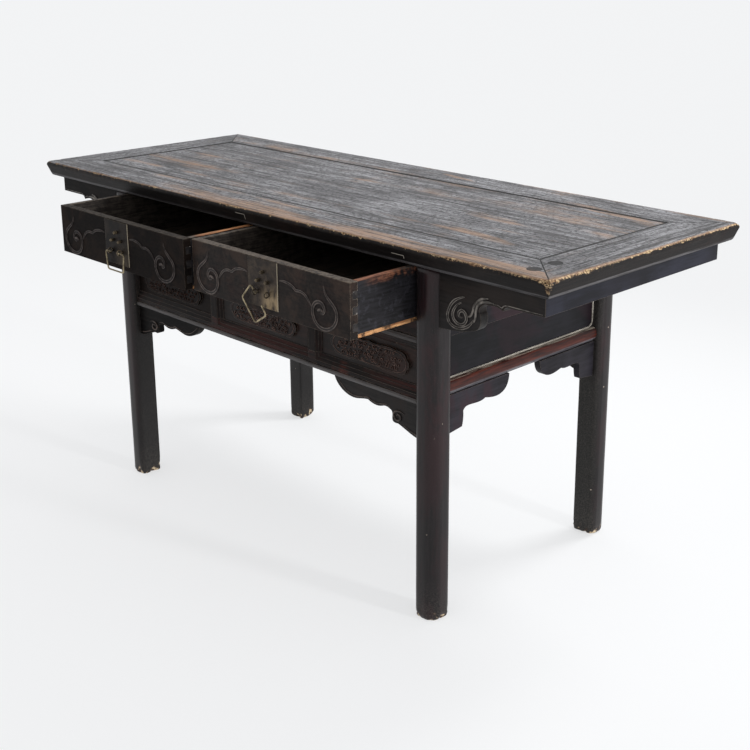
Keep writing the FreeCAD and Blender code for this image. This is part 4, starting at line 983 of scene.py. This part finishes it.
def end_bead(side, sign):
    """The light line along the foot of an end panel, turning up beside both legs."""
    low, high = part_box(side + "_end_panel")
    face = high.x if sign > 0 else low.x
    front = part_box("leg_front_" + side)[1].y
    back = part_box("leg_back_" + side)[0].y
    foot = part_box(side + "_end_rail")[1].z
    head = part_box(side + "_end_board")[0].z
    bend = 16 * MM
    inset = 2 * MM
    path = [(front + inset, head)]
    for middle, first_angle in ((front + inset + bend, 180), (back - inset - bend, 270)):
        for step in range(7):
            angle = math.radians(first_angle + step * 15)
            path.append((middle + bend * math.cos(angle),
                         foot + inset + bend * (1 + math.sin(angle))))
    path.append((back - inset, head))
    bead(side + "_end_panel_bead", [[(face, y, z) for y, z in path]], 2.2 * MM, bead_lacquer)


# Legs, hewn by hand and eaten away at their feet

LEG_CORNERS = (  # which way the corner lies from the leg's middle, radius in millimetres, steps
    (1, 1, 29, 12), (-1, 1, 17, 8), (-1, -1, 3, 3), (1, -1, 17, 8))
HALF_LEG = 30
LEG_STEP = 14 * MM
# Heights above the floor and how far the foot draws in there, in millimetres
FOOT = ((0, 8), (0.7, 5.2), (2.2, 3), (5, 1.3), (9, 0.4), (14, 0), (20, 0), (27, 0))


def leg_ring():
    """Points round a leg's section, in millimetres from its middle, outward corner first."""
    ring = []
    for number, (toward_x, toward_y, radius, steps) in enumerate(LEG_CORNERS):
        for step in range(steps + 1):
            angle = math.radians(90 * (number + step / steps))
            ring.append(((HALF_LEG - radius) * toward_x + radius * math.cos(angle),
                         (HALF_LEG - radius) * toward_y + radius * math.sin(angle)))
    full = []
    for (x, y), (next_x, next_y) in zip(ring, ring[1:] + ring[:1]):
        parts = max(1, round(math.hypot(next_x - x, next_y - y) / 7))
        full += [(x + (next_x - x) * part / parts, y + (next_y - y) * part / parts)
                 for part in range(parts)]
    return full


def worn_leg(end, side):
    """A leg, slightly uneven all over, its foot drawn in and bitten away."""
    node = f"leg_{end}_{side}"
    low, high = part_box(node)
    middle = (low + high) / 2
    out_x = 1 if side == "right" else -1
    out_y = 1 if end == "back" else -1
    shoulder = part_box("top_frame_front")[0].z
    levels = [(height * MM, inset) for height, inset in FOOT]
    count = round((shoulder - levels[-1][0]) / LEG_STEP)
    levels += [(levels[-1][0] + (shoulder - levels[-1][0]) * (step + 1) / count, 0)
               for step in range(count)]
    ring = leg_ring()
    points, worn = [], []
    for height, inset in levels:
        for x, y in ring:
            spot = Vector((middle.x + out_x * x * MM, middle.y + out_y * y * MM, height))
            gone = inset + 0.22 * (noise.noise(spot * 14) + 1)
            near_foot = max(0, 1 - height / 0.032)
            bites = max(0, noise.noise(spot * 62) - 0.05) * 13 * near_foot
            bites += max(0, noise.noise(spot * 150) - 0.1) * 7 * near_foot
            shrink = 1 - min(12, gone + bites) / math.hypot(x, y)
            points.append((middle.x + out_x * x * MM * shrink,
                           middle.y + out_y * y * MM * shrink, height))
            worn.append(min(1, bites / 3.5 + inset / 9))
    faces = skin(len(levels), len(ring))
    make("worn_" + node, points, faces, legs_lacquer, "table", (node,), worn)


# The rounded end rails: out from the rail's inner face and up from its foot, in millimetres

END_RAIL = ((0, 0), (18, 0), (24, 0), (25, 0.6), (25.4, 2), (26, 3.4), (28.5, 4.6), (31.5, 7),
            (34, 10.5), (35.5, 15), (36, 20), (35.5, 25), (34, 29.5), (31.5, 32.6), (28.5, 34.4),
            (25, 35), (12, 35), (0, 35))


def rounded_end_rail(side, sign):
    """An end rail between its legs, round on its outside."""
    node = side + "_end_rail"
    low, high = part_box(node)
    inner = low.x if sign > 0 else high.x
    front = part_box("leg_front_" + side)[1].y - 6 * MM
    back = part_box("leg_back_" + side)[0].y + 6 * MM
    stations = 60
    points = []
    for station in range(stations + 1):
        y = front + (back - front) * station / stations
        for out, up in END_RAIL:
            sag = 0.25 * MM * noise.noise(Vector((sign * 3, y * 7, up * 0.05)))
            points.append((inner + sign * (out * MM - abs(sag) * (out > 25)), y, low.z + up * MM))
    faces = skin(stations + 1, len(END_RAIL))
    sharpen(make("rounded_" + node, points, faces, rail_lacquer, "table", (node,)))


def rail_beads():
    """Round mouldings along the front rails."""
    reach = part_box("leg_front_right")[0].x + 4 * MM
    for rail, up in (("bottom_rail", 6 * MM), ("middle_rail", 27 * MM)):
        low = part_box("front_" + rail)[0]
        y, z = low.y + 3.6 * MM, low.z + up
        bead(rail + "_bead", [[(-reach, y, z), (reach, y, z)]], 5.4 * MM, grey_bead)


# Darker, less shiny copies for the carving on the left: painted shade.
shaded_left_scroll = carved_lacquer("left scroll lacquer", tone(16, 14, 14), tone(80, 72, 69), sheen=0.4)
scroll_lacquer = carved_lacquer("scroll lacquer", tone(24, 20, 19), tone(92, 81, 76))
panel_lacquer = carved_lacquer("panel carving lacquer", tone(28, 18, 16), tone(104, 82, 74))
# The left panel's relief in a darker copy: painted shade.
shaded_left_relief = carved_lacquer("left panel carving lacquer", tone(16, 11, 10), tone(70, 52, 46),
                             sheen=0.4)
bead_lacquer = raw_wood("rubbed bead", ALONG_Y, tone(92, 87, 81), tone(168, 162, 152))
wing_scroll = carved_lacquer("wing scroll lacquer", tone(28, 25, 23), tone(122, 116, 110))
rubbed_bead = raw_wood("panel bead", ALONG_X, tone(34, 30, 28), tone(70, 63, 59))
grey_bead = raw_wood("rail bead", ALONG_X, tone(52, 49, 49), tone(98, 96, 96))
for side, sign in (("left", -1), ("right", 1)):
    drawer_carving(side)
    wing_carving(side, sign)
    bracket_carving(side, sign)
    rounded_end_rail(side, sign)
    end_bead(side, sign)
    for end in ("front", "back"):
        worn_leg(end, side)
rail_beads()
for where, flares in (("left", (0, 16 * MM)), ("middle", (16 * MM, 16 * MM)),
                      ("right", (16 * MM, 0))):
    panel_carving(where)
    panel_beads(where, *flares)


# Camera, floor and light

def look():
    """The camera, at the photograph's angle."""
    data = bpy.data.cameras.new("camera")
    data.sensor_width = 36
    data.lens = 59.59
    data.shift_x = -0.0411
    data.shift_y = -0.1
    camera = placed("camera", data)
    camera.location = (2.2182, -1.9709, 1.4518)
    camera.rotation_euler = (math.radians(90 - 16.58), 0, math.radians(44.527))
    bpy.context.scene.camera = camera


def floor():
    """A wide pale floor under the table."""
    half = 60
    mesh = bpy.data.meshes.new("floor")
    mesh.from_pydata([(-half, -half, 0), (half, -half, 0), (half, half, 0), (-half, half, 0)], [],
                     [(0, 1, 2, 3)])
    f = Finish("floor", Roughness=0.9, Specular_IOR_Level=0, Emission_Strength=1)
    seen = f.looked_at()
    colour = f.mix(seen, tone(236, 237, 240), tone(160, 161, 162))
    glow = f.mix(seen, (0, 0, 0), (0.59, 0.594, 0.6))
    mesh.materials.append(f.coat(Base_Color=colour, Emission_Color=glow))
    placed("floor", mesh)


def lamp(name, place, aim, width, height, power, spread):
    """A soft lamp that the camera doesn't see; its spread is in degrees."""
    data = bpy.data.lights.new(name, "AREA")
    data.shape = "RECTANGLE"
    data.size = width
    data.size_y = height
    data.energy = power
    data.spread = math.radians(spread)
    thing = placed(name, data)
    thing.location = place
    thing.rotation_euler = (Vector(aim) - Vector(place)).to_track_quat("-Z", "Y").to_euler()
    thing.visible_camera = False


def daylight(strength):
    """An even light all round; the camera, shiny faces and glass see a pale studio there."""
    world = bpy.data.worlds.new("studio")
    world.use_nodes = True
    bpy.context.scene.world = world
    around = Nodes(world.node_tree)
    around.tree.nodes.remove(around.tree.nodes["Background"])
    light = around.add("ShaderNodeBackground", None, {"Color": (1, 1, 1), "Strength": strength})
    white = around.add("ShaderNodeBackground", None, {"Color": tone(243, 244, 245)})
    either = around.add("ShaderNodeMixShader", None, {0: around.looked_at(), 1: light, 2: white})
    around.feed(around.tree.nodes["World Output"].inputs["Surface"], either)


look()
floor()
daylight(0.86)
lamp("back light", (0.8, 1.9, 2.7), (0, 0.2, 0.4), 0.7, 0.7, 11, 90)
lamp("side light", (3.3, 0.5, 1.05), (0.5, 0, 0.6), 0.3, 1.1, 4.5, 45)

scene = bpy.context.scene
scene.view_settings.view_transform = "Standard"
